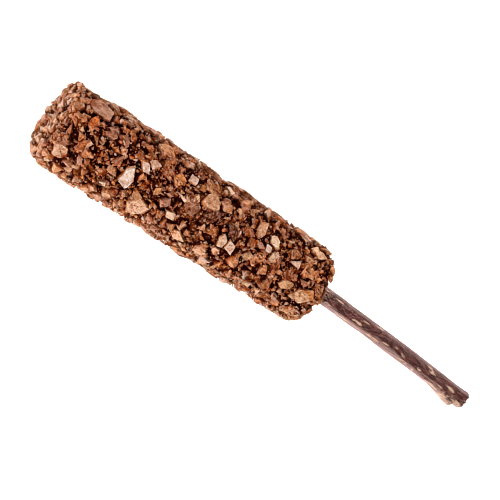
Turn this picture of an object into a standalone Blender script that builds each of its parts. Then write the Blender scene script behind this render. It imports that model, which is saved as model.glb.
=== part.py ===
"""A chocolate lollipop on a twig, lying on its side.

A finger-shaped head, crusted all over with broken chocolate flakes, sits on a bark-covered twig
that runs into a socket along its middle. +X runs from the head's tip to the twig's cut end.
The head lies on the flattened tops of its lowest flakes, at Z = 0, and the origin is there, below
the middle of the whole length. Lengths are in metres.
"""

import math
import random
from collections import namedtuple

import bmesh
import bpy
from mathutils import Matrix, Vector, noise

MM = 0.001

# The head, measured over its flakes
HEAD_LENGTH = 93 * MM
HEAD_RADIUS = 12.5 * MM
HEAD_TAPER = 0.3 * MM  # how much thinner the head is at the twig
TIP_ROUND = 3.5 * MM
SHOULDER_ROUND = 4.8 * MM
CRUST_DEPTH = 1.5 * MM  # from the flakes' tops down to the core
AXIS_HEIGHT = 12 * MM  # less than the radius by what the lowest flakes lose below
CORE_SIDES = 20
SIDE_STEPS = 12
ROUND_STEPS = 2
CORE_RELIEF = 0.7 * MM
CORE_LUMP = 3 * MM

# The twig
TWIG_LENGTH = 64 * MM  # the part that shows
TWIG_RADIUS = 2.6 * MM
TWIG_SWELL = 0.15 * MM  # how much thicker it is at its cut end
TWIG_IN_HEAD = 30 * MM
TWIG_OFFSET = 0.4 * MM  # from the head's axis, towards +Y
TWIG_SLOPE = 0.033  # towards -Y, where it leaves the head
TWIG_BEND = 0.34  # further distance towards -Y, for each metre of its run, squared
TWIG_RINGS = 56
BARK_RELIEF = 0.16 * MM
FIBRE_WIDTH = 1.1 * MM
FIBRE_LENGTH = 9 * MM
SPUR_START = 49 * MM  # the stub of a side shoot, along the part that shows
SPUR_END = 60.5 * MM
SPUR_HEIGHT = 1.4 * MM
END_FLARE = 0.1 * MM
END_SLANT = 0.12
SOCKET_GAP = 0.3 * MM
SOCKET_SIDES = 20

# The flakes: broken plates, each as long as said and less broad
Flake = namedtuple("Flake", "run angle length breadth turn lean sink")
BIG_FLAKES = 150
BIG_LENGTH = (3.9 * MM, 6.4 * MM)
BIG_LEAN = 18  # degrees
SMALL_FLAKES = 180
SMALL_LENGTH = (2.5 * MM, 3.8 * MM)
SMALL_LEAN = 32
FLAKE_BREADTH = (0.6, 0.95)  # of its length
FLAKE_CORNERS = (4, 6)
CORNER_REACH = (0.8, 1.15)
FLAKE_TOP = (0.72, 0.96)  # how wide its top is, for a foot of 1
FLAKE_ROOT = 0.6 * MM  # how deep its foot stands in the core
FLAKE_SINK = 0.5 * MM
LEAN_SINK = 0.3  # of its raised end's height: how far it is pushed in
FLAKE_TRIES = 20  # places drawn for each flake, of which it takes the one with most room
FLAKE_SEED = 11

# The largest flakes on the side that shows: millimetres from the tip and degrees from the top
# towards -Y, length and breadth in millimetres, turn from +X towards -Y, and lean
SHOWN_FLAKES = (
    (23, 12, 6.6, 4.0, 80, 8),
    (31, 40, 7.0, 6.0, -30, -6),
    (29, 5, 5.4, 4.2, -35, 10),
    (32, -30, 5.6, 5.0, 20, -10),
    (43, 3, 5.8, 5.2, 60, 12),
    (49, -6, 6.6, 3.8, -40, -14),
    (48, -25, 5.4, 4.6, -50, 6),
    (40, 22, 4.2, 2.4, 0, 10),
    (59, 14, 4.6, 3.0, 55, -5),
    (56, 13, 4.6, 3.0, 65, 8),
    (65, -30, 5.0, 3.0, 85, 14),
    (70, -27, 3.6, 3.3, 10, -6),
    (72, -8, 3.8, 2.5, -55, 8),
    (68, 8, 4.8, 3.8, -50, -8),
    (78, -31, 4.2, 4.2, 0, 12),
    (85, -54, 5.7, 4.0, -5, 5),
    (86, 17, 7.0, 4.6, -45, -10),
    (80, 15, 5.1, 2.6, -30, 12),
    (79, 0, 4.6, 3.6, -20, -8),
    (41, 62, 4.8, 4.6, 0, 8),
    (45, 44, 5.7, 3.4, 5, -10),
    (30, -53, 6.5, 5.4, 10, 5),
    (8, -48, 7.0, 5.4, 0, -4),
    (14, -34, 4.4, 3.2, -15, 10),
    (4, 32, 4.2, 4.0, 50, 8),
    (2, 17, 4.2, 3.6, 10, -10),
    (4, -15, 5.0, 4.4, 40, 12),
)
# The flat flakes below, which the head lies on
RESTING_FLAKES = (
    (10, 180, 5.5, 4.5, 20, 0),
    (26, 182, 5.5, 4.5, -30, 0),
    (43, 180, 6.5, 5.5, 0, 0),
    (64, 178, 6.0, 5.0, 10, 0),
    (82, 180, 5.5, 4.5, 40, 0),
)

TIP = -(HEAD_LENGTH + TWIG_LENGTH) / 2
SHOULDER = TIP + HEAD_LENGTH
TWIG_END = SHOULDER + TWIG_LENGTH
CUTTER_MARGIN = 5 * MM
MERGE_DISTANCE = 0.01 * MM


# ---------------------------------------------------------------- materials and small helpers


def material(name, colour, roughness):
    """A matt finish."""
    made = bpy.data.materials.new(name)
    made.use_nodes = True
    surface = made.node_tree.nodes["Principled BSDF"]
    surface.inputs["Base Color"].default_value = (*colour, 1)
    surface.inputs["Roughness"].default_value = roughness
    surface.inputs["Metallic"].default_value = 0
    made.diffuse_color = (*colour, 1)
    return made


def collection(name):
    made = bpy.data.collections.new(name)
    bpy.context.scene.collection.children.link(made)
    return made


def add_object(name, mesh, group):
    made = bpy.data.objects.new(name, mesh)
    group.objects.link(made)
    return made


def mesh_from(bm, name):
    mesh = bpy.data.meshes.new(name)
    bm.to_mesh(mesh)
    bm.free()
    return mesh


def evaluated_mesh(obj):
    """The object's mesh with its modifiers, or its curve's bevel, worked out."""
    graph = bpy.context.evaluated_depsgraph_get()
    return bpy.data.meshes.new_from_object(obj.evaluated_get(graph))


def smooth_step(value):
    value = min(1.0, max(0.0, value))
    return value * value * (3 - 2 * value)


# ---------------------------------------------------------------- the head's outline


def stretches(inset=0.0):
    """The outline's five lengths, from the tip's middle: flat, rounding, side, rounding, flat."""
    tip_round, shoulder_round = TIP_ROUND - inset, SHOULDER_ROUND - inset
    return (
        HEAD_RADIUS - inset - tip_round,
        tip_round * math.pi / 2,
        HEAD_LENGTH - 2 * inset - tip_round - shoulder_round,
        shoulder_round * math.pi / 2,
        HEAD_RADIUS - HEAD_TAPER - inset - shoulder_round,
    )


def outline_point(run, inset=0.0):
    """The outline's (x, radius, slant) at a run along it, moved inwards by the inset.

    The slant is the outward normal's angle, from -X at the tip through square to +X at the twig.
    """
    tip_flat, tip_arc, side, shoulder_arc, _ = stretches(inset)
    tip_round, shoulder_round = TIP_ROUND - inset, SHOULDER_ROUND - inset
    radius, end_radius = HEAD_RADIUS - inset, HEAD_RADIUS - HEAD_TAPER - inset
    quarter = math.pi / 2
    if run < tip_flat:
        return TIP + inset, run, -quarter
    run -= tip_flat
    if run < tip_arc:
        slant = run / tip_round - quarter
        x = TIP + inset + tip_round * (1 + math.sin(slant))
        return x, tip_flat + tip_round * math.cos(slant), slant
    run -= tip_arc
    if run < side:
        return TIP + inset + tip_round + run, radius - HEAD_TAPER * run / side, 0.0
    run -= side
    if run < shoulder_arc:
        slant = run / shoulder_round
        x = SHOULDER - inset - shoulder_round * (1 - math.sin(slant))
        return x, end_radius - shoulder_round * (1 - math.cos(slant)), slant
    run -= shoulder_arc
    return SHOULDER - inset, max(0.0, end_radius - shoulder_round - run), quarter


def crust_point(run, angle):
    """(point, outward normal) over the flakes' tops; angle 0 is on top, and it grows towards -Y."""
    x, radius, slant = outline_point(run)
    away = Vector((0, -math.sin(angle), math.cos(angle)))
    normal = Vector((math.sin(slant), 0, 0)) + away * math.cos(slant)
    return Vector((x, 0, AXIS_HEIGHT)) + away * radius, normal


# ---------------------------------------------------------------- the flakes


def placed_flakes(rows):
    """The flakes of a table's rows."""
    tip_flat = stretches()[0]
    for along, angle, length, breadth, turn, lean in rows:
        past_tip = along * MM - TIP_ROUND
        if past_tip < 0:
            run = tip_flat + TIP_ROUND * math.acos(-past_tip / TIP_ROUND)
        else:
            run = tip_flat + TIP_ROUND * math.pi / 2 + past_tip
        angle, turn, lean = math.radians(angle), math.radians(turn), math.radians(lean)
        yield Flake(run, angle, length * MM, breadth * MM, turn, lean, sink=0.0)


def drawn_place(draw):
    """A (run, angle) drawn evenly over the outline's turned surface."""
    while True:
        run, angle = draw.uniform(0, sum(stretches())), draw.uniform(0, math.tau)
        if outline_point(run)[1] > draw.uniform(TWIG_RADIUS, HEAD_RADIUS):
            return run, angle


def roomiest_place(draw, length, found, middles):
    """Of several drawn places, the one whose flake would lie furthest from its neighbours."""
    best, most = None, -math.inf
    for _ in range(FLAKE_TRIES):
        place = drawn_place(draw)
        point, _ = crust_point(*place)
        gaps = ((point - middle).length - other.length / 2 for other, middle in zip(found, middles))
        room = min(gaps) - length / 2
        if room > most:
            best, most = place, room
    return best


def all_flakes(draw):
    """The flakes, the largest first: those in the tables, then drawn ones spread evenly between."""
    found = [*placed_flakes(SHOWN_FLAKES), *placed_flakes(RESTING_FLAKES)]
    middles = [crust_point(flake.run, flake.angle)[0] for flake in found]
    for wanted, lengths, most_lean in (
        (BIG_FLAKES, BIG_LENGTH, BIG_LEAN),
        (SMALL_FLAKES, SMALL_LENGTH, SMALL_LEAN),
    ):
        for _ in range(wanted):
            length = draw.uniform(*lengths)
            run, angle = roomiest_place(draw, length, found, middles)
            breadth = length * draw.uniform(*FLAKE_BREADTH)
            lean = math.radians(draw.uniform(-most_lean, most_lean))
            turn, sink = draw.uniform(0, math.tau), draw.uniform(0, FLAKE_SINK)
            found.append(Flake(run, angle, length, breadth, turn, lean, sink))
            middles.append(crust_point(run, angle)[0])
    return found


def flake_mesh(draw, flake, name):
    """A broken plate: a low frustum with uneven corners, its top at height 0."""
    bm = bmesh.new()
    corners = draw.randint(*FLAKE_CORNERS)
    top = draw.uniform(*FLAKE_TOP)
    bmesh.ops.create_cone(bm, cap_ends=True, segments=corners, radius1=0.5, radius2=top / 2, depth=1)
    bmesh.ops.translate(bm, vec=(0, 0, -0.5), verts=bm.verts)
    reach = [draw.uniform(*CORNER_REACH) for _ in range(corners)]
    for vert in bm.verts:
        corner = round(math.atan2(vert.co.y, vert.co.x) / math.tau * corners) % corners
        vert.co.xy *= reach[corner]
    thickness = CRUST_DEPTH + FLAKE_ROOT
    bmesh.ops.scale(bm, vec=(flake.length, flake.breadth, thickness), verts=bm.verts)
    return mesh_from(bm, name)


def facing(normal):
    """A turn that carries +Z onto the normal, with +X as near to the head's axis as it can be."""
    side = normal.cross(Vector((1, 0, 0)))
    side = side.normalized() if side.length > 0 else Vector((0, 1, 0))
    return Matrix((side.cross(normal), side, normal)).transposed().to_4x4()


def flake_place(flake):
    """The flake's place: its top in the head's outline and its foot in the core."""
    point, normal = crust_point(flake.run, flake.angle)
    raised = abs(math.sin(flake.lean)) * flake.length
    place = Matrix.Translation(point - normal * (flake.sink + raised * LEAN_SINK))
    turned = facing(normal) @ Matrix.Rotation(-flake.turn, 4, "Z")
    return place @ turned @ Matrix.Rotation(flake.lean, 4, "Y")


def add_flakes(group):
    """One object for each flake."""
    draw = random.Random(FLAKE_SEED)
    for number, flake in enumerate(all_flakes(draw)):
        name = f"flake_{number:03d}"
        plate = add_object(name, flake_mesh(draw, flake, name), group)
        plate.matrix_world = flake_place(flake)


# ---------------------------------------------------------------- the head


def core_runs():
    """Runs along the core's outline: its ends, and steps over each rounding and the side."""
    run, runs = 0.0, [0.0]
    for length, steps in zip(stretches(CRUST_DEPTH), (1, ROUND_STEPS, SIDE_STEPS, ROUND_STEPS, 1)):
        runs += [run + length * step / steps for step in range(1, steps + 1)]
        run += length
    return runs


def core_object(group):
    """The body under the flakes: the outline, moved in by the crust's depth and turned about X."""
    bm = bmesh.new()
    profile = []
    for run in core_runs():
        x, radius, _ = outline_point(run, CRUST_DEPTH)
        profile.append(bm.verts.new((x, 0, radius)))
    for first, second in zip(profile, profile[1:]):
        bm.edges.new((first, second))
    core = add_object("core", mesh_from(bm, "core"), group)
    core.location.z = AXIS_HEIGHT
    turned = core.modifiers.new("turned", "SCREW")
    turned.axis = "X"
    turned.steps = turned.render_steps = CORE_SIDES
    turned.use_merge_vertices = True
    turned.merge_threshold = MERGE_DISTANCE
    turned.use_normal_calculate = True
    lumps = bpy.data.textures.new("lumps", "CLOUDS")
    lumps.noise_scale = CORE_LUMP
    uneven = core.modifiers.new("uneven", "DISPLACE")
    uneven.texture = lumps
    uneven.texture_coords = "LOCAL"
    uneven.strength = CORE_RELIEF
    return core


def as_cutter(name, group):
    """Moves the object just added to the cutters, as a wire outline that isn't rendered."""
    cutter = bpy.context.object
    cutter.name = name
    for user in list(cutter.users_collection):
        user.objects.unlink(cutter)
    group.objects.link(cutter)
    cutter.hide_render = True
    cutter.display_type = "WIRE"


def floor_cutter(group):
    """The cutter that flattens the lowest flakes."""
    size = HEAD_LENGTH + 2 * CUTTER_MARGIN
    middle = (TIP + SHOULDER) / 2
    bpy.ops.mesh.primitive_cube_add(size=size, location=(middle, 0, -size / 2))
    as_cutter("below_floor", group)


def socket_cutter(group):
    """The cutter for the twig's socket, open at the shoulder."""
    start = SHOULDER - TWIG_IN_HEAD - SOCKET_GAP
    end = SHOULDER + CUTTER_MARGIN
    bpy.ops.mesh.primitive_cylinder_add(
        vertices=SOCKET_SIDES,
        radius=TWIG_RADIUS + BARK_RELIEF + SOCKET_GAP,
        depth=end - start,
        location=((start + end) / 2, TWIG_OFFSET, AXIS_HEIGHT),
        rotation=(0, math.pi / 2, 0),
    )
    as_cutter("socket", group)


def boolean(obj, name, operation, group):
    joined = obj.modifiers.new(name, "BOOLEAN")
    joined.operation = operation
    joined.operand_type = "COLLECTION"
    joined.collection = group


def keep_largest_shell(mesh):
    """Drops loose scraps, and the walls of hollows that the joining sealed."""
    bm = bmesh.new()
    bm.from_mesh(mesh)
    unseen, shells = set(bm.verts), []
    while unseen:
        shell, front = set(), [unseen.pop()]
        while front:
            vert = front.pop()
            shell.add(vert)
            near = {edge.other_vert(vert) for edge in vert.link_edges} & unseen
            unseen -= near
            front.extend(near)
        shells.append(shell)
    shells.sort(key=len)
    for shell in shells[:-1]:
        bmesh.ops.delete(bm, geom=list(shell), context="VERTS")
    bm.to_mesh(mesh)
    bm.free()


def build_head(group, cutters, finish):
    """The core and its flakes as one body, flattened below and with a socket for the twig."""
    flakes = collection("flakes")
    core = core_object(group)
    add_flakes(flakes)
    floor_cutter(cutters)
    socket_cutter(cutters)
    boolean(core, "flakes", "UNION", flakes)
    boolean(core, "cuts", "DIFFERENCE", cutters)
    mesh = evaluated_mesh(core)
    mesh.transform(core.matrix_world)
    keep_largest_shell(mesh)
    for helper in [core, *flakes.objects]:
        bpy.data.objects.remove(helper)
    bpy.data.collections.remove(flakes)
    mesh.materials.clear()
    mesh.materials.append(finish)
    add_object("head", mesh, group)


# ---------------------------------------------------------------- the twig


def twig_middle(x):
    """The middle of the twig at x: straight in the head, then bending towards -Y."""
    run = max(0.0, x - SHOULDER)
    return Vector((x, TWIG_OFFSET - TWIG_SLOPE * run - TWIG_BEND * run**2, AXIS_HEIGHT))


def twig_radius(x, angle):
    """How far the bark stands from the twig's middle, with angle 0 towards -Y."""
    run = x - SHOULDER
    across = Vector((math.sin(angle), math.cos(angle))) * TWIG_RADIUS / FIBRE_WIDTH
    bark = BARK_RELIEF * noise.noise((x / FIBRE_LENGTH, *across))
    rise = smooth_step((run - SPUR_START) / (SPUR_END - SPUR_START))
    spur = SPUR_HEIGHT * rise * max(0.0, math.cos(angle)) ** 2 if run < SPUR_END else 0.0
    flare = END_FLARE * smooth_step((run - SPUR_END) / (TWIG_LENGTH - SPUR_END))
    return TWIG_RADIUS + TWIG_SWELL * max(0.0, run) / TWIG_LENGTH + bark + spur + flare


def twig_tube(group):
    """A plain round tube along the twig's middle, as a closed mesh."""
    curve = bpy.data.curves.new("twig_line", "CURVE")
    curve.dimensions = "3D"
    curve.bevel_depth = TWIG_RADIUS
    curve.bevel_resolution = 6
    curve.use_fill_caps = True
    line = curve.splines.new("POLY")
    line.points.add(TWIG_RINGS - 1)
    start = SHOULDER - TWIG_IN_HEAD
    for ring, point in enumerate(line.points):
        x = start + (TWIG_END - start) * ring / (TWIG_RINGS - 1)
        point.co = (*twig_middle(x), 1)
    guide = add_object("twig_line", curve, group)
    bm = bmesh.new()
    bm.from_mesh(evaluated_mesh(guide))
    bmesh.ops.remove_doubles(bm, verts=bm.verts, dist=MERGE_DISTANCE)
    bpy.data.objects.remove(guide)
    return bm


def build_twig(group, finish):
    """A bark-covered twig with the stub of a side shoot near its slanting cut end."""
    bm = twig_tube(group)
    for vert in bm.verts:
        middle = twig_middle(vert.co.x)
        away = vert.co - middle
        angle = math.atan2(away.z, -away.y)
        vert.co = middle + away.normalized() * twig_radius(vert.co.x, angle)
        if vert.co.x > TWIG_END - MM:
            vert.co.x += END_SLANT * (vert.co.y - middle.y)
    mesh = mesh_from(bm, "twig")
    mesh.shade_smooth()
    mesh.set_sharp_from_angle(angle=math.radians(50))
    mesh.materials.append(finish)
    add_object("twig", mesh, group)


def main():
    for old in list(bpy.data.objects):
        bpy.data.objects.remove(old)
    lollipop = collection("lollipop")
    cutters = collection("cutters")
    chocolate = material("chocolate", (0.25, 0.105, 0.05), 0.6)
    bark = material("bark", (0.13, 0.06, 0.05), 0.7)
    build_head(lollipop, cutters, chocolate)
    build_twig(lollipop, bark)


main()
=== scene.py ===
# %% [markdown]
# # A chocolate lollipop on a twig
#
# The real thing is a finger of chocolate, about 93 mm long, that was rolled in broken chocolate
# flakes while it was still soft. It sits on a short length of twig with its bark on. It lies on
# its side on a pale table, and the camera looks down on it.
#
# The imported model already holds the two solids, the head and the twig, at their true sizes. This
# scene puts a finer piece in the place of each. The head becomes a dark core and many flakes, each
# kind of flake being one mesh, and the twig becomes a tube of bark with its fibres.

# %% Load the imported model
import math
import random
from collections import namedtuple

import bmesh
import bpy
import numpy as np
from mathutils import Matrix, Vector, noise


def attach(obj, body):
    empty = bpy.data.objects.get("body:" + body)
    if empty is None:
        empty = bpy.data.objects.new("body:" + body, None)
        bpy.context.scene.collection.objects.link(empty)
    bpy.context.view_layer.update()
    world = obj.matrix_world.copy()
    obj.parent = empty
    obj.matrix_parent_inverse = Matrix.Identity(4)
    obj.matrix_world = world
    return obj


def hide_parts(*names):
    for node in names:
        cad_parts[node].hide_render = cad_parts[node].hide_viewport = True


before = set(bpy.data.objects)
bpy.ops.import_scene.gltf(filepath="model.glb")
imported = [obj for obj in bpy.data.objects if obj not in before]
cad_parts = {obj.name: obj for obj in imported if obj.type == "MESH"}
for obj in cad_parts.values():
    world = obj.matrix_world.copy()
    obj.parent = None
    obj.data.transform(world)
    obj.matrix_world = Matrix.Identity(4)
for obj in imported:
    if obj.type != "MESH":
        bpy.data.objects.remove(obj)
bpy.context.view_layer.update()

MM = 0.001
print("nodes:", sorted(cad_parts))

# %% [markdown]
# ## The head's outline
#
# The head is a round bar with a nearly flat tip and softly rounded edges. Its flakes come out to
# one outline, which is turned about the X axis. A place on the crust is then two numbers: the run
# along the outline, from the middle of the tip, and the angle about the axis. The sizes are the
# solid's own, so that each flake here lies where the solid has it.

# %% The outline, in metres
HEAD_LENGTH = 93 * MM
HEAD_RADIUS = 12.5 * MM
HEAD_TAPER = 0.3 * MM
TIP_ROUND = 3.5 * MM
SHOULDER_ROUND = 4.8 * MM
CRUST_DEPTH = 1.5 * MM
AXIS_HEIGHT = 12 * MM
TWIG_LENGTH = 64 * MM
TWIG_RADIUS = 2.6 * MM

TIP = -(HEAD_LENGTH + TWIG_LENGTH) / 2
SHOULDER = TIP + HEAD_LENGTH
TWIG_END = SHOULDER + TWIG_LENGTH


def stretches(inset=0.0):
    """The outline's five lengths, from the tip's middle: flat, rounding, side, rounding, flat."""
    tip_round, shoulder_round = TIP_ROUND - inset, SHOULDER_ROUND - inset
    return (
        HEAD_RADIUS - inset - tip_round,
        tip_round * math.pi / 2,
        HEAD_LENGTH - 2 * inset - tip_round - shoulder_round,
        shoulder_round * math.pi / 2,
        HEAD_RADIUS - HEAD_TAPER - inset - shoulder_round,
    )


def outline_point(run, inset=0.0):
    """The outline's (x, radius, slant of its outward normal) at a run along it."""
    tip_flat, tip_arc, side, shoulder_arc, _ = stretches(inset)
    tip_round, shoulder_round = TIP_ROUND - inset, SHOULDER_ROUND - inset
    radius, end_radius = HEAD_RADIUS - inset, HEAD_RADIUS - HEAD_TAPER - inset
    quarter = math.pi / 2
    if run < tip_flat:
        return TIP + inset, run, -quarter
    run -= tip_flat
    if run < tip_arc:
        slant = run / tip_round - quarter
        x = TIP + inset + tip_round * (1 + math.sin(slant))
        return x, tip_flat + tip_round * math.cos(slant), slant
    run -= tip_arc
    if run < side:
        return TIP + inset + tip_round + run, radius - HEAD_TAPER * run / side, 0.0
    run -= side
    if run < shoulder_arc:
        slant = run / shoulder_round
        x = SHOULDER - inset - shoulder_round * (1 - math.sin(slant))
        return x, end_radius - shoulder_round * (1 - math.cos(slant)), slant
    run -= shoulder_arc
    return SHOULDER - inset, max(0.0, end_radius - shoulder_round - run), quarter


def crust_point(run, angle):
    """(point, outward normal) on the outline; angle 0 is on top, and it grows towards -Y."""
    x, radius, slant = outline_point(run)
    away = Vector((0, -math.sin(angle), math.cos(angle)))
    normal = Vector((math.sin(slant), 0, 0)) + away * math.cos(slant)
    return Vector((x, 0, AXIS_HEIGHT)) + away * radius, normal


print("outline, mm:", [round(length / MM, 1) for length in stretches()])

# %% [markdown]
# ## Where the large flakes lie
#
# The flakes that catch the eye in the picture are in a table, by their distance from the tip and
# their angle. The others are spread by a rule: of twenty places drawn, each flake takes the one
# with the most room. That gives the even but irregular crust of the real thing, where plain
# random places would leave heaps and bare patches. The random numbers are seeded and drawn in the
# solid's own order, so these are the solid's flakes.

# %% The large flakes
Flake = namedtuple("Flake", "run angle length breadth turn lean sink breaks", defaults=((),))
BIG_FLAKES = 150
BIG_LENGTH = (3.9 * MM, 6.4 * MM)
BIG_LEAN = 18
SMALL_FLAKES = 180
SMALL_LENGTH = (2.5 * MM, 3.8 * MM)
SMALL_LEAN = 32
FLAKE_BREADTH = (0.6, 0.95)
FLAKE_CORNERS = (4, 6)
CORNER_REACH = (0.8, 1.15)
FLAKE_TOP = (0.72, 0.96)
FLAKE_ROOT = 0.6 * MM
FLAKE_SINK = 0.5 * MM
LEAN_SINK = 0.3
FLAKE_TRIES = 20
FLAKE_SEED = 11

# mm from the tip, degrees from the top, length and breadth in mm, turn, lean; then kind and tone
SHOWN_FLAKES = (
    (23, 12, 6.6, 4.0, 80, 8, "plate", "white"),
    (31, 40, 7.0, 6.0, -30, -6, "plate", "gold"),
    (29, 5, 5.4, 4.2, -35, 10, "shell", "orange"),
    (32, -30, 5.6, 5.0, 20, -10, "nugget", "brown"),
    (43, 3, 5.8, 5.2, 60, 12, "nugget", "mauve"),
    (49, -6, 6.6, 3.8, -40, -14, "nugget", "dark"),
    (48, -25, 5.4, 4.6, -50, 6, "plate", "tan"),
    (40, 22, 4.2, 2.4, 0, 10, "plate", "pale"),
    (59, 14, 4.6, 3.0, 55, -5, "plate", "pale"),
    (56, 13, 4.6, 3.0, 65, 8, "plate", "pale"),
    (65, -30, 5.0, 3.0, 85, 14, "plate", "tan"),
    (70, -27, 3.6, 3.3, 10, -6, "plate", "white"),
    (72, -8, 3.8, 2.5, -55, 8, "plate", "pale"),
    (68, 8, 4.8, 3.8, -50, -8, "nugget", "tan"),
    (78, -31, 4.2, 4.2, 0, 12, "nugget", "orange"),
    (85, -54, 5.7, 4.0, -5, 5, "plate", "pale"),
    (86, 17, 7.0, 4.6, -45, -10, "plate", "gold"),
    (80, 15, 5.1, 2.6, -30, 12, "plate", "gold"),
    (79, 0, 4.6, 3.6, -20, -8, "nugget", "brown"),
    (41, 62, 4.8, 4.6, 0, 8, "nugget", "mauve"),
    (45, 44, 5.7, 3.4, 5, -10, "plate", "tan"),
    (30, -53, 6.5, 5.4, 10, 5, "plate", "orange"),
    (8, -48, 7.0, 5.4, 0, -4, "plate", "mauve"),
    (14, -34, 4.4, 3.2, -15, 10, "nugget", "mauve"),
    (4, 32, 4.2, 4.0, 50, 8, "plate", "tan"),
    (2, 17, 4.2, 3.6, 10, -10, "nugget", "mauve"),
    (4, -15, 5.0, 4.4, 40, 12, "nugget", "orange"),
)
# thin ones that lie over the solid's flakes, in the same form
SHOWN_SCALES = (
    (26, -12, 3.6, 3.0, 30, 10, "plate", "pale"),
    (9, 2, 3.6, 2.4, 80, -6, "plate", "tan"),
    (19, 37, 3.0, 1.9, 20, 12, "plate", "white"),
    (36, -22, 3.6, 3.3, -60, 8, "nugget", "tan"),
    (40, -37, 3.1, 2.6, 50, -8, "plate", "pale"),
    (36, 12, 3.2, 3.0, 0, 10, "plate", "mauve"),
    (43, -13, 2.9, 1.6, 85, 8, "plate", "pale"),
    (79, -17, 3.6, 2.8, 20, -8, "plate", "pale"),
    (83, -34, 3.8, 3.1, -70, 6, "nugget", "tan"),
    (52, -60, 3.0, 2.8, 0, 8, "plate", "pale"),
    (22, 51, 3.6, 2.2, 15, 8, "plate", "tan"),
    (65, 12, 3.3, 2.8, -20, 10, "plate", "tan"),
    (69, -13, 2.5, 1.9, 40, -8, "plate", "pale"),
    (71, 50, 3.6, 2.5, 10, 6, "plate", "pale"),
    (58, -3, 4.6, 3.4, 35, 8, "nugget", "dark"),
    (61, -18, 4.0, 3.2, -20, -10, "nugget", "brown"),
)
RESTING_FLAKES = (
    (10, 180, 5.5, 4.5, 20, 0),
    (26, 182, 5.5, 4.5, -30, 0),
    (43, 180, 6.5, 5.5, 0, 0),
    (64, 178, 6.0, 5.0, 10, 0),
    (82, 180, 5.5, 4.5, 40, 0),
)


def placed_flakes(rows):
    """The flakes of a table's rows."""
    tip_flat = stretches()[0]
    for along, angle, length, breadth, turn, lean, *_ in rows:
        past_tip = along * MM - TIP_ROUND
        if past_tip < 0:
            run = tip_flat + TIP_ROUND * math.acos(-past_tip / TIP_ROUND)
        else:
            run = tip_flat + TIP_ROUND * math.pi / 2 + past_tip
        angle, turn, lean = math.radians(angle), math.radians(turn), math.radians(lean)
        yield Flake(run, angle, length * MM, breadth * MM, turn, lean, 0.0)


def drawn_place(draw, least=TWIG_RADIUS):
    """A (run, angle) drawn evenly over the outline's turned surface, beyond the least radius."""
    while True:
        run, angle = draw.uniform(0, sum(stretches())), draw.uniform(0, math.tau)
        if outline_point(run)[1] > draw.uniform(least, HEAD_RADIUS):
            return run, angle


def roomiest_place(draw, length, found, middles):
    """Of several drawn places, the one whose flake would lie furthest from its neighbours."""
    best, most = None, -math.inf
    for _ in range(FLAKE_TRIES):
        place = drawn_place(draw)
        point, _ = crust_point(*place)
        gaps = ((point - middle).length - other.length / 2 for other, middle in zip(found, middles))
        room = min(gaps) - length / 2
        if room > most:
            best, most = place, room
    return best


def all_flakes(draw):
    """The flakes, the largest first: those in the tables, then drawn ones spread evenly between."""
    found = [*placed_flakes(SHOWN_FLAKES), *placed_flakes(RESTING_FLAKES)]
    middles = [crust_point(flake.run, flake.angle)[0] for flake in found]
    for wanted, lengths, most_lean in (
        (BIG_FLAKES, BIG_LENGTH, BIG_LEAN),
        (SMALL_FLAKES, SMALL_LENGTH, SMALL_LEAN),
    ):
        for _ in range(wanted):
            length = draw.uniform(*lengths)
            run, angle = roomiest_place(draw, length, found, middles)
            breadth = length * draw.uniform(*FLAKE_BREADTH)
            lean = math.radians(draw.uniform(-most_lean, most_lean))
            turn, sink = draw.uniform(0, math.tau), draw.uniform(0, FLAKE_SINK)
            found.append(Flake(run, angle, length, breadth, turn, lean, sink))
            middles.append(crust_point(run, angle)[0])
    return found


def facing(normal):
    """A turn that carries +Z onto the normal, with +X as near to the head's axis as it can be."""
    side = normal.cross(Vector((1, 0, 0)))
    side = side.normalized() if side.length > 0 else Vector((0, 1, 0))
    return Matrix((side.cross(normal), side, normal)).transposed().to_4x4()


def flake_place(flake):
    """The flake's place: its top in the head's outline and its foot in the core."""
    point, normal = crust_point(flake.run, flake.angle)
    raised = abs(math.sin(flake.lean)) * flake.length
    place = Matrix.Translation(point - normal * (flake.sink + raised * LEAN_SINK))
    turned = facing(normal) @ Matrix.Rotation(-flake.turn, 4, "Z")
    return place @ turned @ Matrix.Rotation(flake.lean, 4, "Y")


shape_draw = random.Random(FLAKE_SEED)
flakes = all_flakes(shape_draw)
print(len(flakes), "large flakes")
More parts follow.
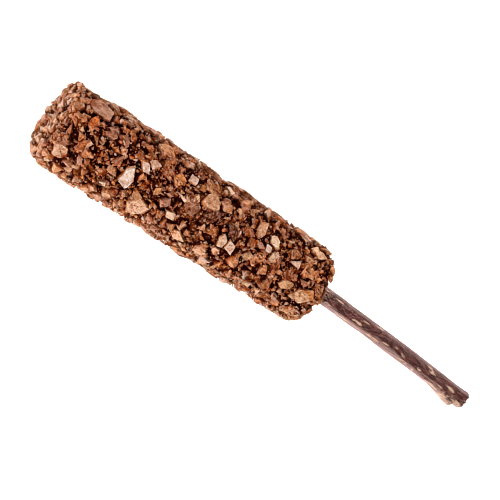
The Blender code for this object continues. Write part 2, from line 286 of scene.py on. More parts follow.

# %% [markdown]
# ## Tones of broken chocolate
#
# Broken chocolate isn't one brown. A fresh break is a warm orange brown, a smooth face has a pale
# pinkish bloom, and dense pieces are mauve or nearly black. Each flake gets one tone with a little
# of its own, kept as a colour attribute on its points, so that one material serves every kind. The
# shares say how often each kind has each tone. The tip and the sides get more dusty tones than the
# top, which also paints the light that falls on the tip and the sheen at the edges.

# %% The tones, as linear colours
TONES = {
    "white": (0.53, 0.40, 0.30),
    "pale": (0.44, 0.302, 0.218),
    "gold": (0.42, 0.255, 0.152),
    "tan": (0.40, 0.222, 0.120),
    "orange": (0.37, 0.152, 0.050),
    "brown": (0.27, 0.096, 0.028),
    "mauve": (0.26, 0.122, 0.074),
    "dusty": (0.36, 0.235, 0.180),
    "dark": (0.12, 0.034, 0.012),
}
TONE_SPREAD = 0.10
HUE_SPREAD = (0, 0.06, 0.23)  # of red, green and blue, beside each other
EVEN_FROM = 1.2  # the red that a tone would have if it didn't vary in hue: pale ones vary least
MOST_COOL = -1.0
LIGHTEST = 0.85
KIND_TONES = {  # how often each kind of piece has each tone
    "plate": {"pale": 8, "tan": 44, "orange": 28, "mauve": 20},
    "nugget": {"pale": 6, "tan": 22, "orange": 34, "brown": 24, "mauve": 10, "dark": 4},
    "shell": {"pale": 8, "tan": 24, "orange": 36, "brown": 20, "mauve": 12},
    "scale": {"pale": 14, "tan": 36, "orange": 28, "brown": 12, "mauve": 10},
    "chip": {"white": 2, "pale": 11, "tan": 32, "orange": 27, "brown": 18, "mauve": 10},
    "bit": {"pale": 8, "tan": 24, "orange": 34, "brown": 24, "mauve": 6, "dark": 4},
    "splinter": {"white": 3, "pale": 22, "tan": 34, "orange": 28, "brown": 10},
    "flinder": {"pale": 9, "tan": 24, "orange": 36, "brown": 26, "dark": 5},
    "crumb": {"pale": 10, "tan": 24, "orange": 34, "brown": 26, "dark": 6},
}


def own_tone(draw, tone):
    """A flake's own colour: its tone, lighter or darker, and warmer or cooler if it isn't pale."""
    change = draw.gauss(0, TONE_SPREAD)
    warmth = max(MOST_COOL, draw.gauss(0, 1)) * (EVEN_FROM - TONES[tone][0])
    return tuple(
        min(LIGHTEST, channel * math.exp(change - warmth * spread))
        for channel, spread in zip(TONES[tone], HUE_SPREAD)
    )


DUSTY_TONES = {"pale": 25, "tan": 20, "mauve": 25, "dusty": 30}
# at the tip and on the sides, dusty tones also paint the light on the tip and the sheen at the
# edges
DUST_AND_LIGHT_AT_TIP, DUST_AND_SHEEN_AT_SIDES = 0.6, 0.5  # how many of the pieces there have these tones
TOP_UNTIL = 0.65  # the cosine of the angle at which the sides start


def drawn_tone(draw, kind, run, angle):
    """A colour for a piece of that kind, from the dusty tones at the tip and on the sides.

    There these tones also paint the light on the tip and the sheen at the edges.
    """
    share = 0.0
    if run < stretches()[0] + TIP_ROUND / 2:
        share = DUST_AND_LIGHT_AT_TIP
    elif math.cos(angle) < TOP_UNTIL:
        share = DUST_AND_SHEEN_AT_SIDES
    shares = DUSTY_TONES if draw.random() < share else KIND_TONES[kind]
    return own_tone(draw, draw.choices(list(shares), list(shares.values()))[0])


print(len(TONES), "tones")

# %% [markdown]
# ## Breaking a flake
#
# Chocolate breaks along flat faces with crisp edges. So each shape starts as a plain block from
# one bmesh operator, and bisect_plane breaks pieces off it. The break is closed with a face. Long
# edges are then split until the points stand close enough for the rough surface, which is made by
# moving each point along its normal by noise. Pits are noise too, but only its high parts count,
# and they only go in. Shapes are made in millimetres, because bmesh joins points that are very
# close, and metres would bring them under that distance.

# %% Helpers that break, refine and roughen


def whole(bm):
    return bm.verts[:] + bm.edges[:] + bm.faces[:]


def finished(bm, name):
    """The bmesh as a mesh of that name."""
    mesh = bpy.data.meshes.new(name)
    bm.to_mesh(mesh)
    bm.free()
    return mesh


def broken(bm, point, normal):
    """Breaks off what lies past a plane and closes the break."""
    cut = bmesh.ops.bisect_plane(
        bm, geom=whole(bm), dist=1e-5, plane_co=point, plane_no=normal, clear_outer=True
    )
    rim = [part for part in cut["geom_cut"] if isinstance(part, bmesh.types.BMEdge)]
    if len(rim) > 2:
        bmesh.ops.edgeloop_fill(bm, edges=rim)


FOOT = -1.5  # mm: what lies deeper is in the core, so its edges may be longer
FOOT_TIMES = 4
MOST_SPLITS = 7


def refined(bm, longest):
    """Splits edges until none is much longer than said, but for those of the hidden foot."""
    for _ in range(MOST_SPLITS):
        bmesh.ops.triangulate(bm, faces=bm.faces[:])
        long = []
        for edge in bm.edges:
            high = max(vert.co.z for vert in edge.verts)
            if edge.calc_length() > (longest if high > FOOT else FOOT_TIMES * longest):
                long.append(edge)
        if not long:
            return
        bmesh.ops.subdivide_edges(bm, edges=long, cuts=1)
    bmesh.ops.triangulate(bm, faces=bm.faces[:])


def moved_out(bm, far):
    """Moves each point along its normal, as far as a function of its place says."""
    bm.normal_update()
    moves = [vert.normal * far(vert.co) for vert in bm.verts]
    for vert, move in zip(bm.verts, moves):
        vert.co += move


def drawn_shift(draw):
    return Vector([draw.uniform(0, 99) for _ in range(3)])


PIT_WALLS = 3  # how steep they are


def roughened(bm, draw, longest, grains, pits, fresh):
    """Refines, roughens and pits a shape; gives how much of a fresh break each point is.

    The grains and the pits are pairs of a grain and a depth, and fresh is a level, a spread and a
    grain."""
    refined(bm, longest)
    shift = drawn_shift(draw)
    for grain, depth in grains:
        moved_out(bm, lambda co: depth * noise.noise(co / grain + shift))
    for grain, depth in pits:
        moved_out(
            bm, lambda co: -depth * min(1.0, max(0.0, noise.noise(co / grain + shift) * PIT_WALLS))
        )
    level, spread, grain = fresh
    return [level + spread * noise.noise(vert.co / grain + shift) for vert in bm.verts]


# %% [markdown]
# ## The large flakes, one by one
#
# Each starts as the solid's own flake, a low frustum with uneven corners, and is then finished by
# its kind. A plate is thin, with one to three pieces broken off its sides, shallow breaks over its
# top that leave flat faces, and often a smaller layer on it. Where the picture shows it edge on, it
# is thicker, so that no light comes through under it. A nugget is thick, with chunks on it and a
# rough, pitted surface. A shell is thin and cupped, with its rim raised, as flakes scraped from a
# block are. Each also says how much of a fresh break every point is, which the finish reads.

# %% Plates, nuggets and shells
PLATE_EDGE, ROUGH_EDGE = 0.58, 0.48  # mm between the points of smooth and of rough flakes
GENTLEST = 5  # degrees, of a break over the top
TOP_BREAK_REACH = (-0.1, 0.6)  # of the flake's half size
CORNER_BREAKS = 4
CHUNK_BREAK_REACH = (0.12, 0.48)
EDGE_ON = 0.4  # the cosine of the angle beyond which the picture shows the crust edge on


def frustum(draw, flake, corners):
    """A flake of the solid's kind, in mm, with its top at height 0."""
    bm = bmesh.new()
    corners = draw.randint(*corners)
    top = draw.uniform(*FLAKE_TOP) / 2
    bmesh.ops.create_cone(bm, cap_ends=True, segments=corners, radius1=0.5, radius2=top, depth=1)
    bmesh.ops.translate(bm, vec=(0, 0, -0.5), verts=bm.verts)
    reach = [draw.uniform(*CORNER_REACH) for _ in range(corners)]
    for vert in bm.verts:
        corner = round(math.atan2(vert.co.y, vert.co.x) / math.tau * corners) % corners
        vert.co.xy *= reach[corner]
    thickness = CRUST_DEPTH + FLAKE_ROOT
    size = Vector((flake.length, flake.breadth, thickness)) / MM
    bmesh.ops.scale(bm, vec=size, verts=bm.verts)
    return bm


def drawn_way(draw, flake, slopes):
    """A way across a flake: its direction, the flake's half size that way in mm, and a slope."""
    way, slope = draw.uniform(0, math.tau), math.radians(draw.uniform(*slopes))
    across = Vector((math.cos(way), math.sin(way), 0))
    size = Vector((across.x * flake.length, across.y * flake.breadth, 0)).length / 2 / MM
    return across, size, slope


def side_breaks(bm, draw, flake, reaches, steepest):
    """Breaks corners off, at shares of the flake's half size, with a slope in degrees."""
    for reach in reaches:
        across, size, slope = drawn_way(draw, flake, (0, steepest))
        normal = across * math.cos(slope) + Vector((0, 0, math.sin(slope)))
        broken(bm, across * size * reach, normal)


def top_breaks(bm, draw, flake, times, steepest):
    """Shallow breaks over the top, from somewhere in its middle outwards, that leave flat faces."""
    for _ in range(times):
        across, size, slope = drawn_way(draw, flake, (GENTLEST, steepest))
        normal = across * math.sin(slope) + Vector((0, 0, math.cos(slope)))
        broken(bm, across * size * draw.uniform(*TOP_BREAK_REACH), normal)


def break_corners(bm, draw, times, reach, flat=1.0):
    """Breaks pieces off all round, at a distance from the middle."""
    for _ in range(times):
        normal = Vector([draw.gauss(0, 1) for _ in range(3)])
        normal.z *= flat
        normal.normalize()
        broken(bm, normal * draw.uniform(*reach), normal)


def chunk(draw, size):
    """An angular chunk: a cube with pieces broken off."""
    bm = bmesh.new()
    bmesh.ops.create_cube(bm, size=0.9)
    break_corners(bm, draw, CORNER_BREAKS, CHUNK_BREAK_REACH)
    bmesh.ops.scale(bm, vec=size, verts=bm.verts)
    turn = Matrix.Rotation(draw.uniform(0, math.tau), 3, drawn_shift(draw))
    bmesh.ops.rotate(bm, matrix=turn, verts=bm.verts)
    return bm


def joined(bm, other):
    """Adds another bmesh to this one."""
    mesh = finished(other, "joined")
    bm.from_mesh(mesh)
    bpy.data.meshes.remove(mesh)


def seen_edge_on(run, angle):
    """Whether the picture shows a place edge on, where a gap under a flake would let light in."""
    return abs(math.cos(angle)) < EDGE_ON or run < stretches()[0] + 2 * TIP_ROUND


# %% A plate
PLATE_THICK = (1.0, 1.5)  # mm, as all the numbers here that are lengths
EDGE_ON_EXTRA = 0.6
PLATE_SLOPE, LAYER_SLOPE, NUGGET_SLOPE = 25, 35, 55  # degrees, the steepest that a side breaks
LAYERED = 0.45  # how many plates have a second layer
LAYER_REACHES = ((-0.1, 0.45), (0.4, 0.8))
LAYER_SIZE = (0.96, 0.96, 0.5)
LAYER_STEP = 0.28
LAYER_TOP_SLOPE, UNDER_LAYER_SLOPE, PLATE_TOP_SLOPE, NUGGET_TOP_SLOPE = 16, 22, 24, 30
LONG_PLATE = 5 * MM  # from this length on, the top has two breaks
# the grains, pits and fresh share of its surface, as roughened takes them
PLATE_SURFACE = (((1.8, 0.11), (0.6, 0.09)), ((1.4, 0.16),), (-0.3, 1.1, 1.5))
PLATE_FRESH_DEPTH = 0.6  # how far down a side its break is wholly fresh
PLATE_CUP = (-0.012, 0.03)


def plate(bm, draw, flake):
    """A thin slab with long straight breaks, and often a second, smaller layer on it."""
    edge_on = seen_edge_on(flake.run, flake.angle)
    thickness = draw.uniform(*PLATE_THICK) + (EDGE_ON_EXTRA if edge_on else 0)
    broken(bm, (0, 0, -thickness), (0, 0, -1))
    side_breaks(bm, draw, flake, flake.breaks, PLATE_SLOPE)
    if draw.random() < LAYERED:
        layer = bm.copy()
        reaches = (draw.uniform(*reach) for reach in LAYER_REACHES)
        side_breaks(layer, draw, flake, reaches, LAYER_SLOPE)
        bmesh.ops.scale(layer, vec=LAYER_SIZE, verts=layer.verts)
        top_breaks(layer, draw, flake, 1, LAYER_TOP_SLOPE)
        bmesh.ops.translate(bm, vec=(0, 0, -LAYER_STEP), verts=bm.verts)
        top_breaks(bm, draw, flake, 1, UNDER_LAYER_SLOPE)
        joined(bm, layer)
    else:
        top_breaks(bm, draw, flake, 1 if flake.length < LONG_PLATE else 2, PLATE_TOP_SLOPE)
    fresh = [
        min(1.0, max(0.0, share - vert.co.z / PLATE_FRESH_DEPTH))
        for vert, share in zip(bm.verts, roughened(bm, draw, PLATE_EDGE, *PLATE_SURFACE))
    ]
    cup = draw.uniform(*PLATE_CUP)
    for vert in bm.verts:
        vert.co.z += cup * vert.co.xy.length_squared
    return fresh


# %% A nugget
NUGGET_DROP = 0.3
CHUNKS = (3, 6)
CHUNK_SIZE = (0.35, 0.95)  # of the nugget's half size
CHUNK_REACH = (0.15, 0.7)
CHUNK_DEPTH = 0.5
NUGGET_SURFACE = (((0.9, 0.25),), ((0.8, 0.5),), (0.6, 0.9, 1.1))


def nugget(bm, draw, flake):
    """A thick block with steep breaks, a few large chunks on it, and a pitted surface."""
    side_breaks(bm, draw, flake, flake.breaks, NUGGET_SLOPE)
    top_breaks(bm, draw, flake, 2, NUGGET_TOP_SLOPE)
    bmesh.ops.translate(bm, vec=(0, 0, -NUGGET_DROP), verts=bm.verts)
    half = Vector((flake.length, flake.breadth)) / 2 / MM
    for _ in range(draw.randint(*CHUNKS)):
        size = Vector([draw.uniform(*CHUNK_SIZE) * (half.x + half.y) / 2 for _ in range(3)])
        piece = chunk(draw, size)
        way, reach = draw.uniform(0, math.tau), draw.uniform(*CHUNK_REACH)
        depth = -CHUNK_DEPTH - CHUNK_DEPTH * reach
        spot = (math.cos(way) * half.x * reach, math.sin(way) * half.y * reach, depth)
        bmesh.ops.translate(piece, vec=spot, verts=piece.verts)
        joined(bm, piece)
    return roughened(bm, draw, ROUGH_EDGE, *NUGGET_SURFACE)


# %% A shell
SHELL_THICK = (0.6, 0.9)
SHELL_RISE = (0.9, 1.5)  # of the rim over the middle
SHELL_DROP = 0.8  # of that rise
SHELL_CHUNK = (0.6, 1.2)
SHELL_CHUNK_REACH = (0.4, 0.3)
SHELL_SURFACE = (((1.5, 0.4), (0.5, 0.3)), (), (0.6, 0.8, 1.1))


def shell(bm, draw, flake):
    """A thin slab, cupped, with a few chunks in its hollow."""
    broken(bm, (0, 0, -draw.uniform(*SHELL_THICK)), (0, 0, -1))
    side_breaks(bm, draw, flake, flake.breaks, PLATE_SLOPE)
    half = flake.length / 2 / MM
    refined(bm, ROUGH_EDGE)
    rise = draw.uniform(*SHELL_RISE)
    for vert in bm.verts:
        vert.co.z += rise * (vert.co.xy.length / half) ** 2 - SHELL_DROP * rise
    for _ in range(2):
        piece = chunk(draw, Vector([draw.uniform(*SHELL_CHUNK) for _ in range(3)]))
        x, y = (draw.uniform(-reach, reach) * half for reach in SHELL_CHUNK_REACH)
        bmesh.ops.translate(piece, vec=(x, y, -SHELL_DROP * rise), verts=piece.verts)
        joined(bm, piece)
    return roughened(bm, draw, ROUGH_EDGE, *SHELL_SURFACE)


# %% The kinds, and how many of 100 drawn flakes each has
FINISHES = {"plate": plate, "nugget": nugget, "shell": shell}
KIND_SHARES = {"plate": 62, "nugget": 24, "shell": 14}
print("kinds of large flake:", ", ".join(FINISHES))

# %% [markdown]
# ## Joining many shapes in one mesh
#
# Thousands of objects would be slow to draw, and copies that only share a mesh are lost in an
# export. So each kind of piece becomes one mesh. A shape is carried to its place and added to a
# bmesh, and the tones are written at the end, as many times as each shape has points.

# %% A heap that grows shape by shape
KEPT_OFF_TWIG = 3.1 * MM
TWIG_OFFSET = 0.4 * MM
TWIG_SLOPE = 0.033
TWIG_BEND = 0.34
TWIG_IN_HEAD = 30 * MM


def twig_middle(x):
    """The middle of the twig at x: straight in the head, then bending towards -Y."""
    run = max(0.0, x - SHOULDER)
    return Vector((x, TWIG_OFFSET - TWIG_SLOPE * run - TWIG_BEND * run**2, AXIS_HEIGHT))


def numbers_of(items, name, width=3):
    """One attribute of a mesh's points or edges, as rows of numbers."""
    found = np.empty(len(items) * width, np.float32)
    items.foreach_get(name, found)
    return found.reshape(-1, width)


def points_of(mesh):
    return numbers_of(mesh.vertices, "co").astype(float)


def move_points(mesh, points):
    mesh.vertices.foreach_set("co", points.astype(np.float32).ravel())


def write_shares(mesh, name, shares):
    """Keeps a number on each point, for the finish to read."""
    kept = mesh.attributes.new(name, "FLOAT", "POINT")
    kept.data.foreach_set("value", np.asarray(shares, np.float32))


def write_tones(mesh, tones):
    """Keeps a colour on each point."""
    colours = np.ones((len(tones), 4), np.float32)
    colours[:, :3] = tones
    kept = mesh.color_attributes.new("tone", "FLOAT_COLOR", "POINT")
    kept.data.foreach_set("color", colours.ravel())


class Heap:
    """Shapes of one kind, joined in one mesh."""

    def __init__(self, kind):
        self.kind, self.bm, self.tones, self.fresh, self.counts = kind, bmesh.new(), [], [], []

    def add(self, mesh, tone, fresh):
        """Adds a mesh that is at its place already, with each point's share of fresh break."""
        self.bm.from_mesh(mesh)
        self.tones.append(tone)
        self.fresh.append(fresh)
        self.counts.append(len(mesh.vertices))

    def to_mesh(self):
        mesh = finished(self.bm, self.kind)
        write_tones(mesh, np.repeat(np.array(self.tones, np.float32), self.counts, axis=0))
        write_shares(mesh, "fresh", np.concatenate(self.fresh))
        return mesh


def fitted(bm, matrix):
    """Carries a flake to its place, cuts it flat at the table, and keeps it off the twig."""
    bmesh.ops.transform(bm, matrix=matrix @ Matrix.Scale(MM, 4), verts=bm.verts)
    if min(vert.co.z for vert in bm.verts) < 0:
        bmesh.ops.scale(bm, vec=(1 / MM,) * 3, verts=bm.verts)
        broken(bm, (0, 0, 0), (0, 0, -1))
        bmesh.ops.scale(bm, vec=(MM,) * 3, verts=bm.verts)
    for vert in bm.verts:
        if vert.co.x > SHOULDER - TWIG_IN_HEAD:
            middle = twig_middle(vert.co.x)
            away = vert.co - middle
            if away.length < KEPT_OFF_TWIG:
                vert.co = middle + away.normalized() * KEPT_OFF_TWIG
    bmesh.ops.triangulate(bm, faces=bm.faces[:])


# %% The large flakes' three meshes
GROWTH = (1.2, 1.75)  # the solid's flakes are grown, as their breaks take much off them
LEAN_GROWTH = 1.45
NEAR_TIP = 20 * MM
TIP_GROWTH = (0.75, 1.15)
SHOWN_GROWTH = 1.32
BREAKS, BREAK_REACH = (1, 3), (0.1, 0.75)
SHOWN_BREAKS = (0.6, 0.8)
SINK_CHANGE = (-0.35, 0.85)  # mm
HIGHEST = -0.1 * MM
SKEW = 0.35
SCALE_CORNERS = (3, 4)
finish_draw = random.Random(5)
heaps = {kind: Heap(kind) for kind in FINISHES}
scratch = bpy.data.meshes.new("scratch")
shown_points = []


def skewed(bm, draw):
    """Makes a flake uneven from side to side, so that its corners are sharp and its edges long."""
    far = max(vert.co.xy.length for vert in bm.verts)
    lean, taper = draw.uniform(-SKEW, SKEW), draw.uniform(-SKEW, SKEW)
    for vert in bm.verts:
        vert.co.y *= 1 + taper * vert.co.x / far
        vert.co.x += lean * vert.co.y


def add_flake(flake, kind, colour, draw, corners=FLAKE_CORNERS):
    """Breaks and finishes one flake, and adds it to its heap; gives its points."""
    bm = frustum(draw, flake, corners)
    skewed(bm, finish_draw)
    shares = FINISHES[kind](bm, finish_draw, flake)
    layer = bm.verts.layers.float.new("fresh")
    for vert, share in zip(bm.verts, shares):
        vert[layer] = share
    fitted(bm, flake_place(flake))
    fresh = [vert[layer] for vert in bm.verts]
    bm.verts.layers.float.remove(layer)
    bm.to_mesh(scratch)
    bm.free()
    heaps[kind].add(scratch, colour, fresh)
    return points_of(scratch)


def grown(flake, draw):
    """A drawn flake made larger and set deeper or higher, with deeper breaks in its sides."""
    growth = draw.uniform(*(TIP_GROWTH if flake.run < NEAR_TIP else GROWTH))
    breaks = [draw.uniform(*BREAK_REACH) for _ in range(draw.randint(*BREAKS))]
    sink = max(HIGHEST, flake.sink + draw.uniform(*SINK_CHANGE) * MM)
    return flake._replace(
        length=flake.length * growth,
        breadth=flake.breadth * growth,
        lean=flake.lean * LEAN_GROWTH,
        sink=sink,
        breaks=breaks,
    )


def shown(flake):
    """A flake of the tables, made larger for what its breaks take off."""
    return flake._replace(
        length=flake.length * SHOWN_GROWTH,
        breadth=flake.breadth * SHOWN_GROWTH,
        breaks=SHOWN_BREAKS,
    )


for number, flake in enumerate(flakes):
    if number < len(SHOWN_FLAKES):
        kind, tone = SHOWN_FLAKES[number][6:]
        flake = shown(flake)
        shown_points.append(add_flake(flake, kind, own_tone(finish_draw, tone), shape_draw))
        continue
    kind = finish_draw.choices(list(KIND_SHARES), list(KIND_SHARES.values()))[0]
    if number < len(SHOWN_FLAKES) + len(RESTING_FLAKES):
        kind = "plate"
    flake = grown(flake, finish_draw)
    add_flake(flake, kind, drawn_tone(finish_draw, kind, flake.run, flake.angle), shape_draw)
for row, flake in zip(SHOWN_SCALES, placed_flakes(SHOWN_SCALES)):
    colour = own_tone(finish_draw, row[7])
    shown_points.append(add_flake(shown(flake), row[6], colour, finish_draw, SCALE_CORNERS))
large = {kind: heap.to_mesh() for kind, heap in heaps.items()}
print({kind: len(mesh.polygons) for kind, mesh in large.items()}, "triangles")

# %% [markdown]
# ## How deep the crust is, place by place
#
# Small chips fall into the gaps between the large flakes, so their places need the height of what
# is there already. The crust is unrolled onto a grid of runs and angles, and each cell keeps the
# depth below the outline of the highest thing in it. The same grid later tells which points lie in
# a hollow, where the chocolate gets painted shade.

# %% The unrolled crust
CELL = 0.35 * MM
RUNS = round(sum(stretches()) / CELL)
TURNS = round(math.tau * HEAD_RADIUS / CELL)
CORE_TOP = 1.7 * MM
KEPT_DEPTH = 0.8 * MM  # what lies deeper of a flake in the table may be covered


def unrolled(points):
    """Each point's run along the outline, angle and depth below the outline."""
    x, across = points[:, 0], np.hypot(points[:, 1], points[:, 2] - AXIS_HEIGHT)
    angle = np.arctan2(-points[:, 1], points[:, 2] - AXIS_HEIGHT) % math.tau
    tip_flat, tip_arc, side, shoulder_arc, shoulder_flat = stretches()
    tip_x, shoulder_x = TIP + TIP_ROUND, SHOULDER - SHOULDER_ROUND
    to_tip, to_shoulder = tip_x - x, x - shoulder_x
    over_tip, over_shoulder = across - tip_flat, across - shoulder_flat
    tip_depth, shoulder_depth = x - TIP, SHOULDER - x
    side_depth = HEAD_RADIUS - HEAD_TAPER * np.clip((x - tip_x) / side, 0, 1) - across
    to_side, past_side = tip_flat + tip_arc, tip_flat + tip_arc + side
    run, depth = to_side + np.clip(x - tip_x, 0, side), side_depth.copy()
    for at, run_there, depth_there in (
        ((tip_depth < side_depth) & (over_tip <= 0), across, tip_depth),
        (
            (shoulder_depth < side_depth) & (over_shoulder <= 0),
            past_side + shoulder_arc + shoulder_flat - across,
            shoulder_depth,
        ),
        (
            (to_tip > 0) & (over_tip > 0),
            tip_flat + TIP_ROUND * np.arctan2(over_tip, to_tip),
            TIP_ROUND - np.hypot(to_tip, over_tip),
        ),
        (
            (to_shoulder > 0) & (over_shoulder > 0),
            past_side + SHOULDER_ROUND * np.arctan2(to_shoulder, over_shoulder),
            SHOULDER_ROUND - np.hypot(to_shoulder, over_shoulder),
        ),
    ):
        run[at], depth[at] = run_there[at], depth_there[at]
    return run, angle, depth


def cells(run, angle):
    """The grid's row and column at each run and angle."""
    row = np.clip((np.asarray(run) / sum(stretches()) * RUNS).astype(int), 0, RUNS - 1)
    return row, (np.asarray(angle) / math.tau * TURNS).astype(int) % TURNS


def cover(ground, points):
    """Raises the grid to these points, and fills the small holes between them."""
    run, angle, depth = unrolled(points)
    fresh = np.full_like(ground, np.inf)
    np.minimum.at(fresh, cells(run, angle), depth)
    for axis in (0, 1):
        fresh = np.minimum(fresh, np.maximum(np.roll(fresh, 1, axis), np.roll(fresh, -1, axis)))
    return np.minimum(ground, fresh)


def softened(ground, times):
    """The grid's mean over the cells around, round the turn and along the runs."""
    for _ in range(times):
        ground = (np.roll(ground, 1, 1) + 2 * ground + np.roll(ground, -1, 1)) / 4
        edged = np.pad(ground, ((1, 1), (0, 0)), mode="edge")
        ground = (edged[:-2] + 2 * edged[1:-1] + edged[2:]) / 4
    return ground


ground = np.full((RUNS, TURNS), CORE_TOP)
for mesh in large.values():
    ground = cover(ground, points_of(mesh))
kept = np.zeros(ground.shape, bool)
for points in shown_points:
    run, angle, depth = unrolled(points)
    row, column = cells(run, angle)
    kept[row[depth < KEPT_DEPTH], column[depth < KEPT_DEPTH]] = True
print("cells", ground.shape, "covered", round(float((ground < CORE_TOP - 0.3 * MM).mean()), 2))

# %% [markdown]
# ## A stock of small shapes
#
# The small pieces are too many to be broken one by one, so a stock of each kind is made first, each
# of a few dozen faces, and copies are turned, mirrored and stretched. A chip is a thin plate, a bit
# is a cube with its corners broken off, a splinter is a long wedge, and a crumb is an uneven ball.
# Scales and flinders are chips too, larger and smaller.

# %% Chips, bits, splinters and crumbs
STOCK = 24
SIDES = (3, 5)
CHIP_THICK = 0.25
CHIP_TOP, CHIP_REACH, CHIP_UNEVEN = (0.7, 1), (0.75, 1.2), (0.5, 1.5)
CHIP_BREAKS, CHIP_BREAK_REACH, CHIP_BREAK_UPRIGHT = 2, (0.15, 0.42), 0.3
CHIP_EDGE, CHIP_SHIFT = 0.4, 0.025
BIT_REACH, CRUMB_REACH = (0.9, 1.1), (0.4, 1.2)
SPLINTER_RADII, SPLINTER_EDGE, SPLINTER_SHIFT = (0.14, 0.05), 0.6, (0.05, 0.04)
stock_draw = random.Random(8)


def stocked(bm, name):
    bmesh.ops.triangulate(bm, faces=bm.faces[:])
    return finished(bm, name)


def split_long(bm, longest, cuts):
    long = [edge for edge in bm.edges if edge.calc_length() > longest]
    bmesh.ops.subdivide_edges(bm, edges=long, cuts=cuts)


def chip(draw):
    """A plate of length 1 and thickness about 0.25, with three to five corners."""
    bm = bmesh.new()
    sides = draw.randint(*SIDES)
    top = 0.5 * draw.uniform(*CHIP_TOP)
    bmesh.ops.create_cone(
        bm, cap_ends=True, segments=sides, radius1=0.5, radius2=top, depth=CHIP_THICK
    )
    for vert in bm.verts:
        vert.co.xy *= draw.uniform(*CHIP_REACH)
        vert.co.z *= draw.uniform(*CHIP_UNEVEN)
    break_corners(bm, draw, CHIP_BREAKS, CHIP_BREAK_REACH, CHIP_BREAK_UPRIGHT)
    bmesh.ops.triangulate(bm, faces=bm.faces[:])
    split_long(bm, CHIP_EDGE, 1)
    for vert in bm.verts:
        vert.co += Vector([draw.uniform(-CHIP_SHIFT, CHIP_SHIFT) for _ in range(3)])
    return stocked(bm, "chip")


def bit(draw):
    """A chunk of length 1 with about ten flat faces."""
    bm = chunk(draw, Vector((1, 1, 1)))
    for vert in bm.verts:
        vert.co *= draw.uniform(*BIT_REACH)
    return stocked(bm, "bit")


def splinter(draw):
    """A long wedge of length 1."""
    bm = bmesh.new()
    sides, (wide, thin) = draw.randint(*SIDES), SPLINTER_RADII
    bmesh.ops.create_cone(bm, cap_ends=True, segments=sides, radius1=wide, radius2=thin, depth=1)
    bmesh.ops.rotate(bm, matrix=Matrix.Rotation(math.pi / 2, 3, "Y"), verts=bm.verts)
    split_long(bm, SPLINTER_EDGE, 2)
    for vert in bm.verts:
        vert.co.yz += Vector([draw.uniform(-far, far) for far in SPLINTER_SHIFT])
    return stocked(bm, "splinter")


def crumb(draw):
    """An uneven ball of diameter 1 and twenty faces."""
    bm = bmesh.new()
    bmesh.ops.create_icosphere(bm, subdivisions=1, radius=0.5)
    for vert in bm.verts:
        vert.co *= draw.uniform(*CRUMB_REACH)
    return stocked(bm, "crumb")


makers = {"chip": chip, "bit": bit, "splinter": splinter, "crumb": crumb}
stock = {kind: [make(stock_draw) for _ in range(STOCK)] for kind, make in makers.items()}
faces = {kind: sum(len(mesh.polygons) for mesh in made) / STOCK for kind, made in stock.items()}
stock["scale"] = stock["flinder"] = stock["chip"]
print({kind: round(count) for kind, count in faces.items()}, "faces each")

# %% [markdown]
# ## Letting the small pieces fall into the crust
#
# Each small piece is drawn a place, and looks at the grid. On top of a large flake it is mostly
# refused, so that the large flakes stay in sight. In a gap it lies on what is there, leaning one
# way or another, and the grid then counts it as part of the ground. The larger ones go first. Where
# the picture shows the crust edge on, they lie flatter, as rolling pressed them there.

# %% Filling the gaps
# kind: how many, lengths in mm, breadth and thickness for a length of 1, lean, and in mm the
# shallowest ground that it falls on and how far it may stand out past the outline
SCATTER = (
    ("scale", 330, (3.4, 6.0), (0.5, 0.95), (0.8, 1.2), 42, 1.3, 0.5),
    ("chip", 560, (1.8, 4.2), (0.45, 0.95), (0.8, 1.4), 58, 1.3, 0.3),
    ("bit", 220, (0.9, 2.6), (0.5, 1.0), (0.4, 0.9), 70, 1.4, 0.1),
    ("splinter", 300, (1.4, 3.8), (0.8, 1.2), (0.8, 1.2), 35, 1.1, 0.3),
    ("flinder", 2300, (0.7, 2.0), (0.5, 1.0), (0.9, 1.8), 65, 0.95, 0.15),
    ("crumb", 9000, (0.25, 0.6), (0.5, 1.0), (0.5, 1.0), 90, 0.9, 0.0),
)
# kind: its stock shape's thickness
THICKNESS = {
    "scale": 0.25, "chip": 0.25, "bit": 0.8, "splinter": 0.25, "flinder": 0.25, "crumb": 0.9
}
# kind: how many of those that fall on top of a flake stay there
KEPT_ON_TOP = {
    "scale": 0.1, "chip": 0.08, "bit": 0.03, "splinter": 0.1, "flinder": 0.15, "crumb": 0.3
}
TRIES = 12  # for each piece
MORE_SHORT = 1.6  # above 1, there are more short pieces than long ones
FOOT_REACH = 0.35  # of the length, to the side, is the ground that a piece lies on
FILLING = 1.08  # times the shallowest ground
OPENNESS, OPEN_PATCH = 0.6, 4.5 * MM  # how much the filling varies from place to place, over what
MOST_KEPT = 0.15  # how much of a shown flake a piece may cover
FLATTENED, FLAT_WITHIN = 0.4, 0.25  # how much of the lean is left, and the cosine where that holds
ROLLED = 0.6  # roll for each degree of lean
SUNK_IN = 0.7  # how much of its half height lies below the ground
TOP_REACH = 0.6  # how much of its half height must be below the outline, but for what may stand out
LEAN_HEIGHT = 0.3  # how much a leaning piece's length adds to its height


def footprint(run, angle, reach):
    """The grid's cells within a reach of a place on the crust."""
    radius = max(outline_point(run)[1], 1.5 * MM)
    row, column = (int(v) for v in cells(run, angle))
    rows = round(reach / CELL)
    columns = min(TURNS // 2, round(reach / radius / math.tau * TURNS))
    wide = np.arange(column - columns, column + columns + 1) % TURNS
    return np.ix_(np.arange(max(0, row - rows), min(RUNS, row + rows + 1)), wide)


